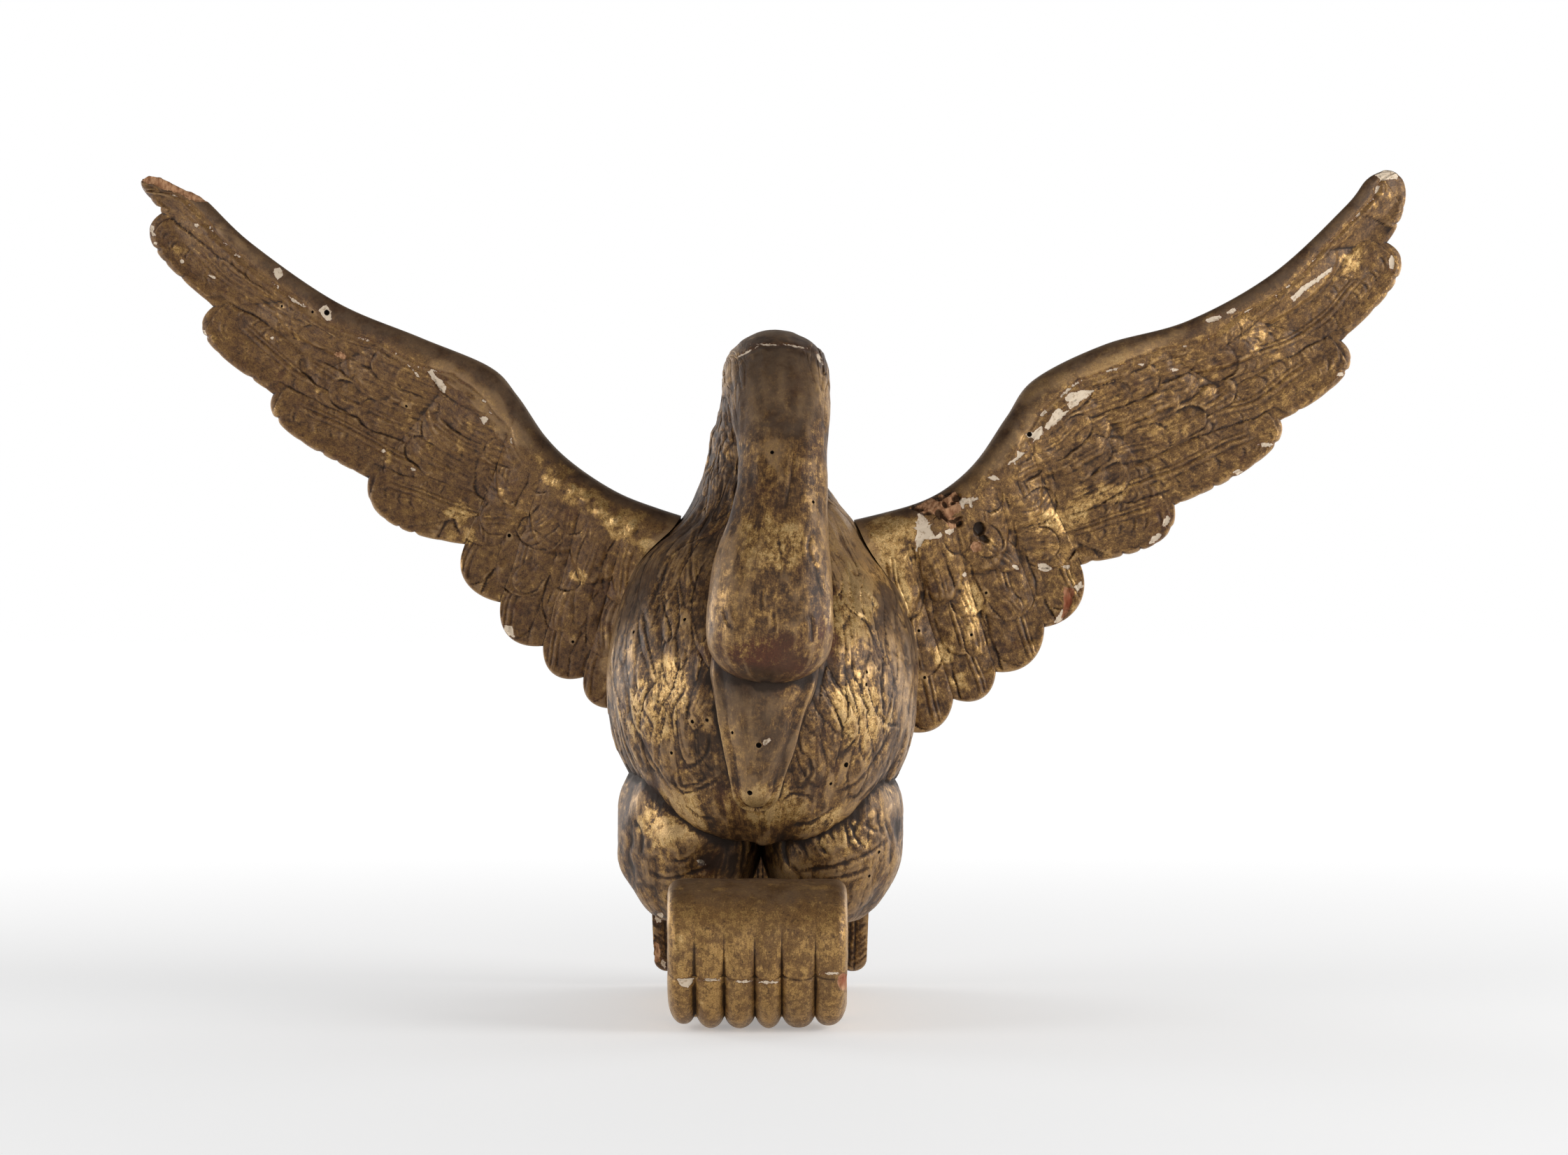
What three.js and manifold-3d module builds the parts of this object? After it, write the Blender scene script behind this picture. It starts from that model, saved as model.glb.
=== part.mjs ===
// A gilded wooden swan, carved with raised wings and its neck bent down over the breast.
// It sits on a plinth whose front edge is rolled into a fluted scroll.
// Millimetres. The swan faces -Y, +Z is up, and z = 0 is the surface that the plinth stands on.
// The origin is on the plinth's flat underside, below the thighs. Right and left are the swan's own.
import * as THREE from "three";
import { ParametricGeometry } from "three/addons/geometries/ParametricGeometry.js";
import { mergeVertices } from "three/addons/utils/BufferGeometryUtils.js";
import Module from "manifold-3d";

const wasm = await Module();
wasm.setup();

// Shared sizes
const JOINT_GAP = 0.3;
const WELD = 1e-4;
const END_CROWDING = 0.75;
const GROOVE_SHARPNESS = 0.96;
const GOLD_BROWN = 0x7a5c33;
const WORN_BROWN = 0x6b4d2c;

// Each station of a swept form: x, y, z of its middle, then half its width and half its depth
const TRUNK = {
  stations: [
    [1.5, 4, 89, 71, 72],
    [1.5, 6, 130, 71.5, 77],
    [0.5, 8, 165, 72.5, 75],
    [0.5, 10, 198, 63.5, 60],
    [1.5, 10, 224, 46.5, 45],
    [1, 7, 246, 30.5, 33],
    [2.5, 0, 266, 25, 28],
    [5.5, -12, 284, 25.5, 26],
    [7, -30, 295.6, 25.5, 23.2],
    [9.5, -52, 285, 23, 20.5],
    [10.3, -66, 258, 20.2, 19],
    [9.5, -74, 230, 21.3, 20],
    [6, -80, 205, 25, 23],
    [4, -81, 180, 26.5, 24],
    [3, -79, 157, 25, 21],
  ],
  around: 28,
  rings: 42,
  capStart: 0.103,
  capEnd: 0.068,
};
const BEAK = {
  stations: [
    [3, -66, 178, 23, 16],
    [2, -69, 160, 24.5, 17],
    [0.5, -70, 145, 20.5, 17],
    [-0.5, -69, 129, 16.5, 16],
    [-1.5, -66, 114, 12, 14],
    [-2, -62, 99, 9, 11],
  ],
  around: 16,
  rings: 12,
  capStart: 0.05,
  capEnd: 0.13,
};

// Thighs: plump ovals under the breast, side by side
const THIGH = {
  x: 33.5,
  y: -2,
  z: 85,
  halfWidth: 33,
  halfDepth: 44,
  halfHeight: 46.5,
  around: 20,
  rings: 14,
};

// Tail: a fan of feathers that hangs behind the plinth. halfWidths runs from its top to its end.
const TAIL = {
  middleX: -0.8,
  topY: 76,
  topZ: 125,
  tilt: THREE.MathUtils.degToRad(11),
  halfThickness: 5,
  halfWidths: [24, 38.5, 50, 54, 53],
  length: 112,
  bow: 7,
  feathers: 7,
  featherRound: 7,
  flute: 2.4,
  lobeSteps: 4,
  places: [0, 0.2, 0.4, 0.6, 0.8, 1],
};

// Plinth: a block with a platform behind a rolled, fluted front
const SCROLL = {
  halfWidth: 40.7,
  middleX: -0.8,
  middleY: -64,
  middleZ: 33.5,
  halfDepth: 32,
  halfHeight: 33.5,
  squareness: 2.35,
  edgeRadius: 6,
  grooves: [-29, -15.8, -2, 10, 25],
  grooveDepth: 6,
  endRise: 2.6,
  endRiseFrom: 22,
  grooveStart: THREE.MathUtils.degToRad(48),
  grooveFull: THREE.MathUtils.degToRad(150),
  grooveFade: THREE.MathUtils.degToRad(200),
  grooveEnd: THREE.MathUtils.degToRad(250),
  stepsAcrossLobe: 5,
  around: 24,
  backY: -49,
};
const PLATFORM = {
  width: 74,
  height: 42,
  frontY: -62,
  hollowY: -28,
  hollowHeight: 8,
  rearY: 72,
  rearRadius: 20,
  bevel: 1.5,
};
// The room that the plinth needs in the swan, and the scroll above its platform
const SEAT = { halfWidth: 60, frontY: -60, behindPlatform: 4, lowest: -5, highest: 90 };

// Wings. lead: points of the front bone from inside the body to the tip, x outwards and z.
// notches: where one feather's end meets the next along the rear edge, from the tip inwards. Each
// has its x and z, its place along the bone, and how far the feather before it stands out near its
// outer and its inner notch, as shares of its width.
const RIGHT_WING = {
  side: -1,
  lead: [
    [20, 228],
    [49, 237],
    [69, 245],
    [89, 258],
    [103, 271.5],
    [116.5, 291],
    [130, 305],
    [164, 319.5],
    [205, 337],
    [247, 366],
    [270, 386.5],
    [285, 394],
    [302, 400],
  ],
  notches: [
    [293, 382, 0.82, 0.1, 0],
    [267, 336, 0.66, 0.44, 0.1],
    [237, 293, 0.54, 0.46, 0.1],
    [190, 252, 0.44, 0.29, 0.07],
    [142.5, 220, 0.34, 0.38, 0.16],
    [125.5, 192, 0.265, 0.42, 0.34],
    [105, 171, 0.195, 0.4, 0.38],
    [85.5, 156, 0.125, 0.42, 0.4],
    [72, 141, 0.065, 0.36, 0.34],
    [50, 136, 0, 0.3, 0.3],
  ],
};
const LEFT_WING = {
  side: 1,
  lead: [
    [20, 226],
    [57, 234.5],
    [77, 240.5],
    [91, 248.5],
    [104, 261],
    [117.5, 281],
    [131, 299],
    [165, 316],
    [206, 328],
    [248, 351.5],
    [284, 384.5],
    [295, 398],
    [304, 403],
  ],
  notches: [
    [306, 368, 0.82, 0.52, 0.3],
    [283, 319.5, 0.67, 0.46, 0.12],
    [252.5, 280.5, 0.555, 0.44, 0.16],
    [200, 239, 0.45, 0.25, 0.1],
    [154, 210, 0.35, 0.4, 0.1],
    [136.5, 180, 0.275, 0.34, 0.36],
    [113, 158.5, 0.2, 0.32, 0.34],
    [92.5, 145.5, 0.13, 0.4, 0.38],
    [70, 130, 0.065, 0.34, 0.34],
    [48, 128, 0, 0.3, 0.3],
  ],
};
const WING = {
  rootY: 14,
  sweepFrom: 40,
  sweepSpan: 260,
  sweepBack: 38,
  sweepPower: 1.5,
  boneHalf: [17, 14, 12, 9, 7, 5.5],
  panelHalf: [9, 7.5, 6.5, 5.4, 4.6, 3.6],
  edgeHalf: 2.6,
  rearTilt: [14, 10, 7, 4, 3, 2],
  cup: [0, 5, 6, 5, 4, 2],
  chordPlaces: [0, 0.02, 0.08, 0.17, 0.29, 0.41, 0.45, 0.6, 0.78, 1],
  covertStep: [0.41, 0.45],
  covertHeight: 1.8,
  covertScallop: 0.05,
  boneFade: 2.6,
  flute: 1.5,
  fluteSpan: [0.25, 0.6],
  featherLean: 0.3,
  roundFeathers: [2, 6],
  lobeSteps: 5,
};

// A closed geometry as a solid, with its faces turned outwards
function solid(geometry) {
  const bare = new THREE.BufferGeometry();
  bare.setAttribute("position", geometry.getAttribute("position"));
  bare.setIndex(geometry.getIndex());
  const merged = mergeVertices(bare, WELD);
  const corners = merged.getIndex().array;
  const outward = [];
  const inward = [];
  for (let i = 0; i < corners.length; i += 3) {
    const [a, b, c] = corners.slice(i, i + 3);
    if (a === b || b === c || c === a) continue;
    outward.push(a, b, c);
    inward.push(a, c, b);
  }
  const vertProperties = merged.getAttribute("position").array;
  const made = (order) =>
    new wasm.Manifold(new wasm.Mesh({ numProp: 3, vertProperties, triVerts: Uint32Array.from(order) }));
  const first = made(outward);
  return first.volume() > 0 ? first : made(inward);
}

function namedMesh(name, shape, material) {
  const data = shape.getMesh();
  const geometry = new THREE.BufferGeometry();
  geometry.setAttribute("position", new THREE.BufferAttribute(Float32Array.from(data.vertProperties), 3));
  geometry.setIndex(new THREE.BufferAttribute(Uint32Array.from(data.triVerts), 1));
  geometry.computeVertexNormals();
  const mesh = new THREE.Mesh(geometry, material);
  mesh.name = name;
  return mesh;
}

// A box from its lowest to its highest corner, as a solid
function blockBetween(low, high) {
  const size = high.map((value, axis) => value - low[axis]);
  const geometry = new THREE.BoxGeometry(...size);
  geometry.translate(...low.map((value, axis) => value + size[axis] / 2));
  return solid(geometry);
}

// The value at t, from 0 to 1, of numbers spaced evenly along a form
function along(values, t) {
  const place = THREE.MathUtils.clamp(t, 0, 1) * (values.length - 1);
  const below = Math.min(Math.floor(place), values.length - 2);
  return THREE.MathUtils.lerp(values[below], values[below + 1], place - below);
}

// Runs 0 to 1 with finer steps at both ends, where a form rounds off
function easedToEnds(v) {
  return v - (END_CROWDING * Math.sin(2 * Math.PI * v)) / (2 * Math.PI);
}

// How far a swept form has rounded off at t: 0 at its very end, 1 past its cap
function capShare(t, capStart, capEnd) {
  const share = Math.min(t / capStart, (1 - t) / capEnd, 1);
  return Math.sqrt(Math.max(0, 1 - (1 - share) ** 2));
}

// An oval section carried along a curved spine, rounded off at both ends, fuller by grow
function sweep({ stations, around, rings, capStart, capEnd }, grow = 0) {
  const spine = new THREE.CatmullRomCurve3(
    stations.map(([x, y, z]) => new THREE.Vector3(x, y, z)),
    false,
    "catmullrom",
  );
  const halves = new THREE.CatmullRomCurve3(
    stations.map(([, , , width, depth]) => new THREE.Vector3(width + grow, depth + grow, 0)),
    false,
    "catmullrom",
  );
  const surface = (u, v, target) => {
    const t = easedToEnds(v);
    const tangent = spine.getTangent(t);
    const across = new THREE.Vector3(1, 0, 0).addScaledVector(tangent, -tangent.x).normalize();
    const deep = new THREE.Vector3().crossVectors(tangent, across);
    const half = halves.getPoint(t).multiplyScalar(capShare(t, capStart, capEnd));
    const angle = 2 * Math.PI * (u % 1);
    target.copy(spine.getPoint(t));
    target.addScaledVector(across, half.x * Math.cos(angle));
    target.addScaledVector(deep, half.y * Math.sin(angle));
  };
  return solid(new ParametricGeometry(surface, around, rings));
}

function thigh(side, grow) {
  const oval = new THREE.SphereGeometry(1, THIGH.around, THIGH.rings);
  oval.rotateX(Math.PI / 2);
  oval.scale(THIGH.halfWidth + grow, THIGH.halfDepth + grow, THIGH.halfHeight + grow);
  oval.translate(side * THIGH.x, THIGH.y, THIGH.z);
  return solid(oval);
}

// The section of a row of lobes: 0 on a lobe's crown, at place 0, and near 1 in a groove, at -1 and 1
function dip(place) {
  return 1 - Math.sqrt(1 - GROOVE_SHARPNESS * place * place);
}

// A carved board over a grid of stations and places. point sets a corner of it, and its face is
// -1 in front, 1 behind, and 0 in the middle of the wood, where the first and last station close.
function board(stations, places, point) {
  const ring = 2 * places;
  const surface = (u, v, target) => {
    const row = Math.round(v * (stations + 1)) - 1;
    const column = Math.round(u * ring) % ring;
    const station = THREE.MathUtils.clamp(row, 0, stations - 1);
    const face = column < places ? -1 : 1;
    point(station, Math.min(column, ring - 1 - column), row === station ? face : 0, target);
  };
  return solid(new ParametricGeometry(surface, ring, stations + 1));
}

function tail() {
  const { feathers, lobeSteps, places, length, featherRound, bow, flute, halfThickness } = TAIL;
  const steps = feathers * lobeSteps;
  const point = (station, place, face, target) => {
    const across = (2 * station) / steps - 1;
    const down = places[place];
    const low = dip(((2 * station) / lobeSteps) % 2 - 1);
    const thickness = halfThickness - flute * low * down;
    const reach = down * (length + featherRound * (1 - low));
    const bowed = bow * across * across * down;
    target.set(across * along(TAIL.halfWidths, down), face * thickness - bowed, -reach);
    target.applyAxisAngle(new THREE.Vector3(1, 0, 0), TAIL.tilt);
    target.add(new THREE.Vector3(TAIL.middleX, TAIL.topY, TAIL.topZ));
  };
  return board(steps + 1, places.length, point);
}

// Trunk, neck, head, beak, thighs and tail, which are carved as one
function swanBody(grow = 0) {
  const forms = [sweep(TRUNK, grow), sweep(BEAK, grow), thigh(-1, grow), thigh(1, grow), tail()];
  return forms.reduce((whole, form) => whole.add(form));
}

// The two sides of the scroll and the grooves between them, from its middle
function lobeEdges() {
  const { grooves, halfWidth, middleX } = SCROLL;
  return [-halfWidth, ...grooves.map((groove) => groove - middleX), halfWidth];
}

// How far the carver cut back the scroll's front at x, for a full groove: lobes between grooves
function fluteShare(x) {
  const edges = lobeEdges();
  const lobe = Math.max(1, edges.findIndex((edge) => x <= edge + WELD));
  const middle = (edges[lobe] + edges[lobe - 1]) / 2;
  const half = (edges[lobe] - edges[lobe - 1]) / 2;
  return dip(THREE.MathUtils.clamp((x - middle) / half, -1, 1));
}

// Places across the scroll: even steps over each lobe, and both sides twice, to close them
function scrollStations() {
  const edges = lobeEdges();
  const places = [-SCROLL.halfWidth, -SCROLL.halfWidth];
  for (let i = 1; i < edges.length; i++) {
    for (let step = 1; step <= SCROLL.stepsAcrossLobe; step++) {
      places.push(THREE.MathUtils.lerp(edges[i - 1], edges[i], step / SCROLL.stepsAcrossLobe));
    }
  }
  places.push(SCROLL.halfWidth);
  return places;
}

function scroll() {
  const { squareness, edgeRadius, halfWidth, grooveDepth, endRise, endRiseFrom } = SCROLL;
  const { smoothstep } = THREE.MathUtils;
  const places = scrollStations();
  const surface = (u, v, target) => {
    const station = Math.round(v * (places.length - 1));
    const x = places[station];
    const closed = station === 0 || station === places.length - 1;
    const angle = 2 * Math.PI * (u % 1);
    const ahead = Math.sin(angle);
    const up = Math.cos(angle);
    const square = (Math.abs(ahead) ** squareness + Math.abs(up) ** squareness) ** (-1 / squareness);
    const intoEdge = Math.max(0, Math.abs(x) - (halfWidth - edgeRadius)) / edgeRadius;
    const edgeCut = edgeRadius * (1 - Math.sqrt(Math.max(0, 1 - intoEdge * intoEdge)));
    const begun = smoothstep(angle, SCROLL.grooveStart, SCROLL.grooveFull);
    const grooving = begun - smoothstep(angle, SCROLL.grooveFade, SCROLL.grooveEnd);
    const risen = endRise * smoothstep(Math.abs(x), endRiseFrom, halfWidth);
    const cut = edgeCut + grooving * (grooveDepth * fluteShare(x) + risen);
    const reach = closed ? 0 : 1;
    target.set(
      SCROLL.middleX + x,
      SCROLL.middleY - reach * (SCROLL.halfDepth * square - cut) * ahead,
      SCROLL.middleZ + reach * (SCROLL.halfHeight * square - cut) * up,
    );
  };
  return solid(new ParametricGeometry(surface, SCROLL.around, places.length - 1));
}

function platform() {
  const { width, height, frontY, hollowY, hollowHeight, rearY, rearRadius, bevel } = PLATFORM;
  const side = new THREE.Shape();
  side.moveTo(frontY, hollowHeight + bevel);
  side.lineTo(hollowY - hollowHeight / 2, hollowHeight + bevel);
  side.lineTo(hollowY + bevel, bevel);
  side.lineTo(rearY, bevel);
  side.lineTo(rearY, height - rearRadius);
  const [turnY, turnZ] = [rearY - rearRadius, height - rearRadius];
  side.absellipse(turnY, turnZ, rearRadius, rearRadius - bevel, 0, Math.PI / 2, false);
  side.lineTo(frontY, height - bevel);
  side.closePath();
  const slab = new THREE.ExtrudeGeometry(side, {
    depth: width - 2 * bevel,
    bevelThickness: bevel,
    bevelSize: bevel,
    bevelSegments: 2,
    curveSegments: 6,
  });
  slab.translate(0, 0, -(width - 2 * bevel) / 2);
  slab.applyMatrix4(
    new THREE.Matrix4().makeBasis(
      new THREE.Vector3(0, 1, 0),
      new THREE.Vector3(0, 0, 1),
      new THREE.Vector3(1, 0, 0),
    ),
  );
  slab.translate(SCROLL.middleX, 0, 0);
  return solid(slab);
}

function scrollPlinth() {
  const low = [-SEAT.halfWidth, SCROLL.backY, PLATFORM.height];
  const behind = blockBetween(low, [SEAT.halfWidth, 0, SEAT.highest]);
  return scroll().subtract(behind).add(platform());
}

// The rounded end of one feather: points on a curve from one notch of the edge to the next, with
// how far it stands out near each. The inner feathers are rounder, and the outer ones slant.
function featherEnd(from, to, outerReach, innerReach, roundness) {
  const width = new THREE.Vector2().subVectors(to, from);
  const outwards = new THREE.Vector2(-width.y, width.x);
  const lean = WING.featherLean;
  const first = from.clone().addScaledVector(outwards, outerReach).addScaledVector(width, lean * roundness);
  const second = to.clone().addScaledVector(outwards, innerReach).addScaledVector(width, -lean);
  return new THREE.CubicBezierCurve(from, first, second, to).getPoints(WING.lobeSteps);
}

// The stations of a wing from its root to its tip. Each has its place along the bone, how far it
// lies across its feather from one notch to the next, its front point, its rear point, and how
// far behind the bone that rear point lies.
function wingStations({ lead, notches }) {
  const leadPoints = lead.map(([x, z]) => new THREE.Vector3(x, 0, z));
  const bone = new THREE.CatmullRomCurve3(leadPoints, false, "catmullrom");
  const tip = new THREE.Vector2(...lead.at(-1));
  const stations = [{ at: 1, across: 0, rear: tip }];
  let from = tip;
  let fromAt = 1;
  notches.forEach(([x, z, at, outerReach, innerReach], i) => {
    const to = new THREE.Vector2(x, z);
    const roundness = THREE.MathUtils.smoothstep(i, ...WING.roundFeathers);
    const end = featherEnd(from, to, outerReach, innerReach, roundness);
    for (let step = 1; step <= WING.lobeSteps; step++) {
      const across = step / WING.lobeSteps;
      stations.push({ at: THREE.MathUtils.lerp(fromAt, at, across), across, rear: end[step] });
    }
    from = to;
    fromAt = at;
  });
  for (const station of stations) {
    const front = bone.getPointAt(station.at);
    const tangent = bone.getTangentAt(station.at);
    station.front = new THREE.Vector2(front.x, front.z);
    const chord = new THREE.Vector2().subVectors(station.rear, station.front);
    station.depth = Math.abs(chord.cross(new THREE.Vector2(tangent.x, tangent.z)));
  }
  return stations.reverse();
}

// Half the wing's thickness: a round bone, then a panel whose coverts end in a step over the long
// feathers, and a shallow flute between one feather and the next
function wingHalfThickness({ at, across, depth }, share) {
  const { smoothstep } = THREE.MathUtils;
  const bone = along(WING.boneHalf, at);
  const behind = share * depth;
  const panel = THREE.MathUtils.lerp(along(WING.panelHalf, at), WING.edgeHalf, share);
  const round = Math.sqrt(Math.max(0, 1 - (1 - Math.min(behind / bone, 1)) ** 2));
  const thinned = smoothstep(behind, bone, WING.boneFade * bone);
  const coverts = WING.covertHeight * thinned * (1 - smoothstep(share, ...WING.covertStep));
  const flute = WING.flute * dip(2 * across - 1) * smoothstep(share, ...WING.fluteSpan);
  return round * (THREE.MathUtils.lerp(bone, panel, thinned) + coverts - flute);
}

function wing(shape) {
  const stations = wingStations(shape);
  const point = (index, place, face, target) => {
    const station = stations[index];
    const { at, across, depth, front, rear } = station;
    const share = WING.chordPlaces[place];
    const bulge = 4 * share * (1 - share);
    const scalloped = share + bulge * WING.covertScallop * Math.sin(Math.PI * across);
    const x = THREE.MathUtils.lerp(front.x, rear.x, scalloped);
    const z = THREE.MathUtils.lerp(front.y, rear.y, scalloped);
    const outwards = Math.max(0, (x - WING.sweepFrom) / WING.sweepSpan);
    const sweptBack = WING.sweepBack * outwards ** WING.sweepPower;
    const turned = share * along(WING.rearTilt, at) + bulge * along(WING.cup, at);
    const middle = WING.rootY + sweptBack + turned * Math.min(1, depth / along(WING.boneHalf, at));
    target.set(shape.side * x, middle + face * wingHalfThickness(station, share), z);
  };
  return board(stations.length, WING.chordPlaces.length, point);
}

const gilding = new THREE.MeshStandardMaterial({ color: GOLD_BROWN, roughness: 0.45, metalness: 0.6 });
const wornGilding = new THREE.MeshStandardMaterial({ color: WORN_BROWN, roughness: 0.55, metalness: 0.45 });

const seat = blockBetween(
  [-SEAT.halfWidth, SEAT.frontY, SEAT.lowest],
  [SEAT.halfWidth, PLATFORM.rearY + SEAT.behindPlatform, PLATFORM.height + JOINT_GAP],
);
const body = swanBody().subtract(seat);
const wingRoom = swanBody(JOINT_GAP);

const swan = new THREE.Group();
swan.name = "gilded_wooden_swan";
swan.add(
  namedMesh("scroll_plinth", scrollPlinth(), wornGilding),
  namedMesh("swan_body", body, gilding),
  namedMesh("right_wing", wing(RIGHT_WING).subtract(wingRoom), gilding),
  namedMesh("left_wing", wing(LEFT_WING).subtract(wingRoom), gilding),
);

export default swan;
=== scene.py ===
"""Carves, gilds and ages a wooden swan on its fluted plinth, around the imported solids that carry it.

Sizes in this file are millimetres unless a name says otherwise. The swan faces -Y and +Z is up.
Right and left are the swan's own, so the right wing lies towards -X.
"""

import math

import bmesh
import bpy
import numpy as np
from bpy.props import FloatProperty, FloatVectorProperty, IntProperty, PointerProperty
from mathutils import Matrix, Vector
from mathutils.bvhtree import BVHTree


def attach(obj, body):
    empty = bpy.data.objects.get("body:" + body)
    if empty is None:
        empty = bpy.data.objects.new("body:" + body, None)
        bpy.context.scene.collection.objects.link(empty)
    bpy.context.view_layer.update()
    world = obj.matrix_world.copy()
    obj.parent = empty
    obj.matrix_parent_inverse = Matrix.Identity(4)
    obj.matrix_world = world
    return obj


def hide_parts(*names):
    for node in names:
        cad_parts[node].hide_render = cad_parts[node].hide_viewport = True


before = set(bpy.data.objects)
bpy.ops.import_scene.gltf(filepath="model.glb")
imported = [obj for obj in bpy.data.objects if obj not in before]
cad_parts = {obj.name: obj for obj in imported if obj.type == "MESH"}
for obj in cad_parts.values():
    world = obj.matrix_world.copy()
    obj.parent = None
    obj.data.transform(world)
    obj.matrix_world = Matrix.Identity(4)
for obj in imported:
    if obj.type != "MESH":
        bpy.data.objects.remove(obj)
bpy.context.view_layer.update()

bl_info = {
    "name": "Gilded Wooden Swan",
    "version": (1, 0, 0),
    "blender": (4, 5, 0),
    "location": "View3D > Sidebar > Swan",
    "description": "Carves and gilds a wooden swan with raised wings on a fluted plinth",
    "category": "Object",
}

MM = 0.001

# The camera, and the frame whose pixels place the marks seen from the front
CAMERA_PLACE = np.array([11.0, -1590.0, 204.0])
FRAME_WIDTH = 2242
FRAME_HEIGHT = 1652
FOCAL_PIXELS = 4811.0
SENSOR_WIDTH = 36.0
PIXELS_A_MM = 3.03

# Forms of the body. Each station of a swept form: x, y, z of its middle, half its width, half its depth
TRUNK = {
    "stations": [
        (1.5, -4, 83, 70, 70), (1.5, 5, 130, 71.5, 77), (0.5, 8, 165, 72.5, 75), (0.5, 10, 198, 63.5, 60),
        (1.5, 10, 224, 46.5, 45), (1, 7, 246, 30.5, 33), (2.5, 0, 266, 25, 28), (5.5, -12, 284, 24.6, 26),
        (7, -30, 295.6, 24.2, 23.4), (9.5, -52, 285, 23, 20.5), (10.3, -66, 258, 20.2, 19),
        (8.5, -74, 230, 22, 20), (5.5, -79, 205, 27, 22.5), (4.5, -81, 180, 28.5, 23.5),
        (3.5, -80, 157, 26, 21),
    ],
    "cap_start": 0.103,
    "cap_end": 0.068,
    "cap_power": 2.5,
    "square_from": 0.62,
    "square_full": 0.74,
    "squareness": 2.5,
}
BEAK = {
    "stations": [
        (3, -66, 178, 23, 16), (2, -69, 160, 24.5, 17), (0.5, -70, 145, 20.5, 17),
        (-0.5, -69, 129, 16.5, 16), (-1.5, -66, 114, 12, 14), (-2, -62, 99, 9, 11),
    ],
    "cap_start": 0.05,
    "cap_end": 0.13,
    "cap_power": 2.0,
    "square_from": -1,
    "square_full": 0,
    "squareness": 2.3,
}
THIGH_MIDDLE = (33.5, 5, 85)
THIGH_HALVES = (34.5, 44, 46.5)
TAIL = {
    "middle_x": -0.8,
    "top_y": 76,
    "top_z": 125,
    "tilt": math.radians(11),
    "half_thickness": 5,
    "half_widths": (24, 38.5, 50, 54, 53),
    "length": 112,
    "bow": 7,
    "feathers": 7,
    "feather_round": 7,
    "flute": 2.4,
}
GROOVE_SHARPNESS = 0.96
SMALLEST_EDGE = 0.02

# The plinth: a platform behind a rolled front that is fluted into lobes
SCROLL = {
    "half_width": 40.7,
    "middle": (-0.8, -64, 33.5),
    "half_depth": 32,
    "half_height": 33.5,
    "squareness": 2.35,
    "edge_radius": 6,
    "grooves": (-29, -15.8, -2, 10, 25),
    "groove_depth": 6,
    "groove_deeper": 1.3,
    "end_rise": 2.6,
    "end_rise_from": 22,
    "groove_start": math.radians(48),
    "groove_full": math.radians(150),
    "groove_fade": math.radians(200),
    "groove_end": math.radians(250),
    "back_y": -49,
}
PLATFORM = {
    "width": 74,
    "height": 42,
    "front_y": -62,
    "hollow_y": -28,
    "hollow_height": 8,
    "rear_y": 72,
    "rear_radius": 20,
    "bevel": 1.5,
}
CRACK = {
    "height": 27.6,
    "sag_on_lobes": 2.9,
    "wander": 0.6,
    "lump": 7,
    "width": 0.55,
    "depth": 0.6,
    "end_fade": 3,
}
# What is cut from the body to seat it, and from the roll above the platform
SEAT_HALF_WIDTH = 60
SEAT_FRONT = -60
SEAT_REAR = 76
SEAT_BOTTOM = -5
SEAT_TOP = 42.3
ABOVE_ROLL = 90

# The wings. lead: points of the front bone from the shoulder to the tip, x outwards and z.
# notches: where one feather's end meets the next along the rear edge, from the tip inwards, with its
# place along the bone and how far the feather before it stands out near its outer and inner notch.
RIGHT_WING = {
    "side": -1,
    "curve": -3.0,
    "relief": 0.6,
    "lead": [
        (20, 228), (49, 237), (69, 245), (89, 258), (103, 271.5), (116.5, 291), (130, 305),
        (164, 319.5), (205, 337), (247, 366), (270, 387.5), (280, 393), (287, 396.3), (293.5, 399.6),
        (298, 400.4), (302, 398.6),
    ],
    "notches": [
        (293, 382, 0.82, 0.3, 0), (267, 336, 0.66, 0.44, 0.1), (237, 293, 0.54, 0.46, 0.1),
        (190, 252, 0.44, 0.29, 0.07), (142.5, 220, 0.34, 0.38, 0.16), (125.5, 192, 0.265, 0.42, 0.34),
        (105, 171, 0.195, 0.4, 0.38), (85.5, 156, 0.125, 0.42, 0.4), (72, 141, 0.065, 0.36, 0.34),
        (50, 136, 0, 0.3, 0.3),
    ],
}
LEFT_WING = {
    "side": 1,
    "curve": 1.0,
    "relief": 0.66,
    "lead": [
        (20, 226), (57, 234.5), (77, 240.5), (91, 248.5), (104, 261), (117.5, 281), (131, 299),
        (165, 316), (206, 328), (248, 351.5), (284, 384.5), (295, 398), (304, 403),
    ],
    "notches": [
        (306, 368, 0.82, 0.52, 0.3), (283, 319.5, 0.67, 0.46, 0.12), (252.5, 280.5, 0.555, 0.44, 0.16),
        (200, 239, 0.45, 0.25, 0.1), (154, 210, 0.35, 0.4, 0.1), (136.5, 180, 0.275, 0.34, 0.36),
        (113, 158.5, 0.2, 0.32, 0.34), (92.5, 145.5, 0.13, 0.4, 0.38), (70, 130, 0.065, 0.34, 0.34),
        (48, 128, 0, 0.3, 0.3),
    ],
}
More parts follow.
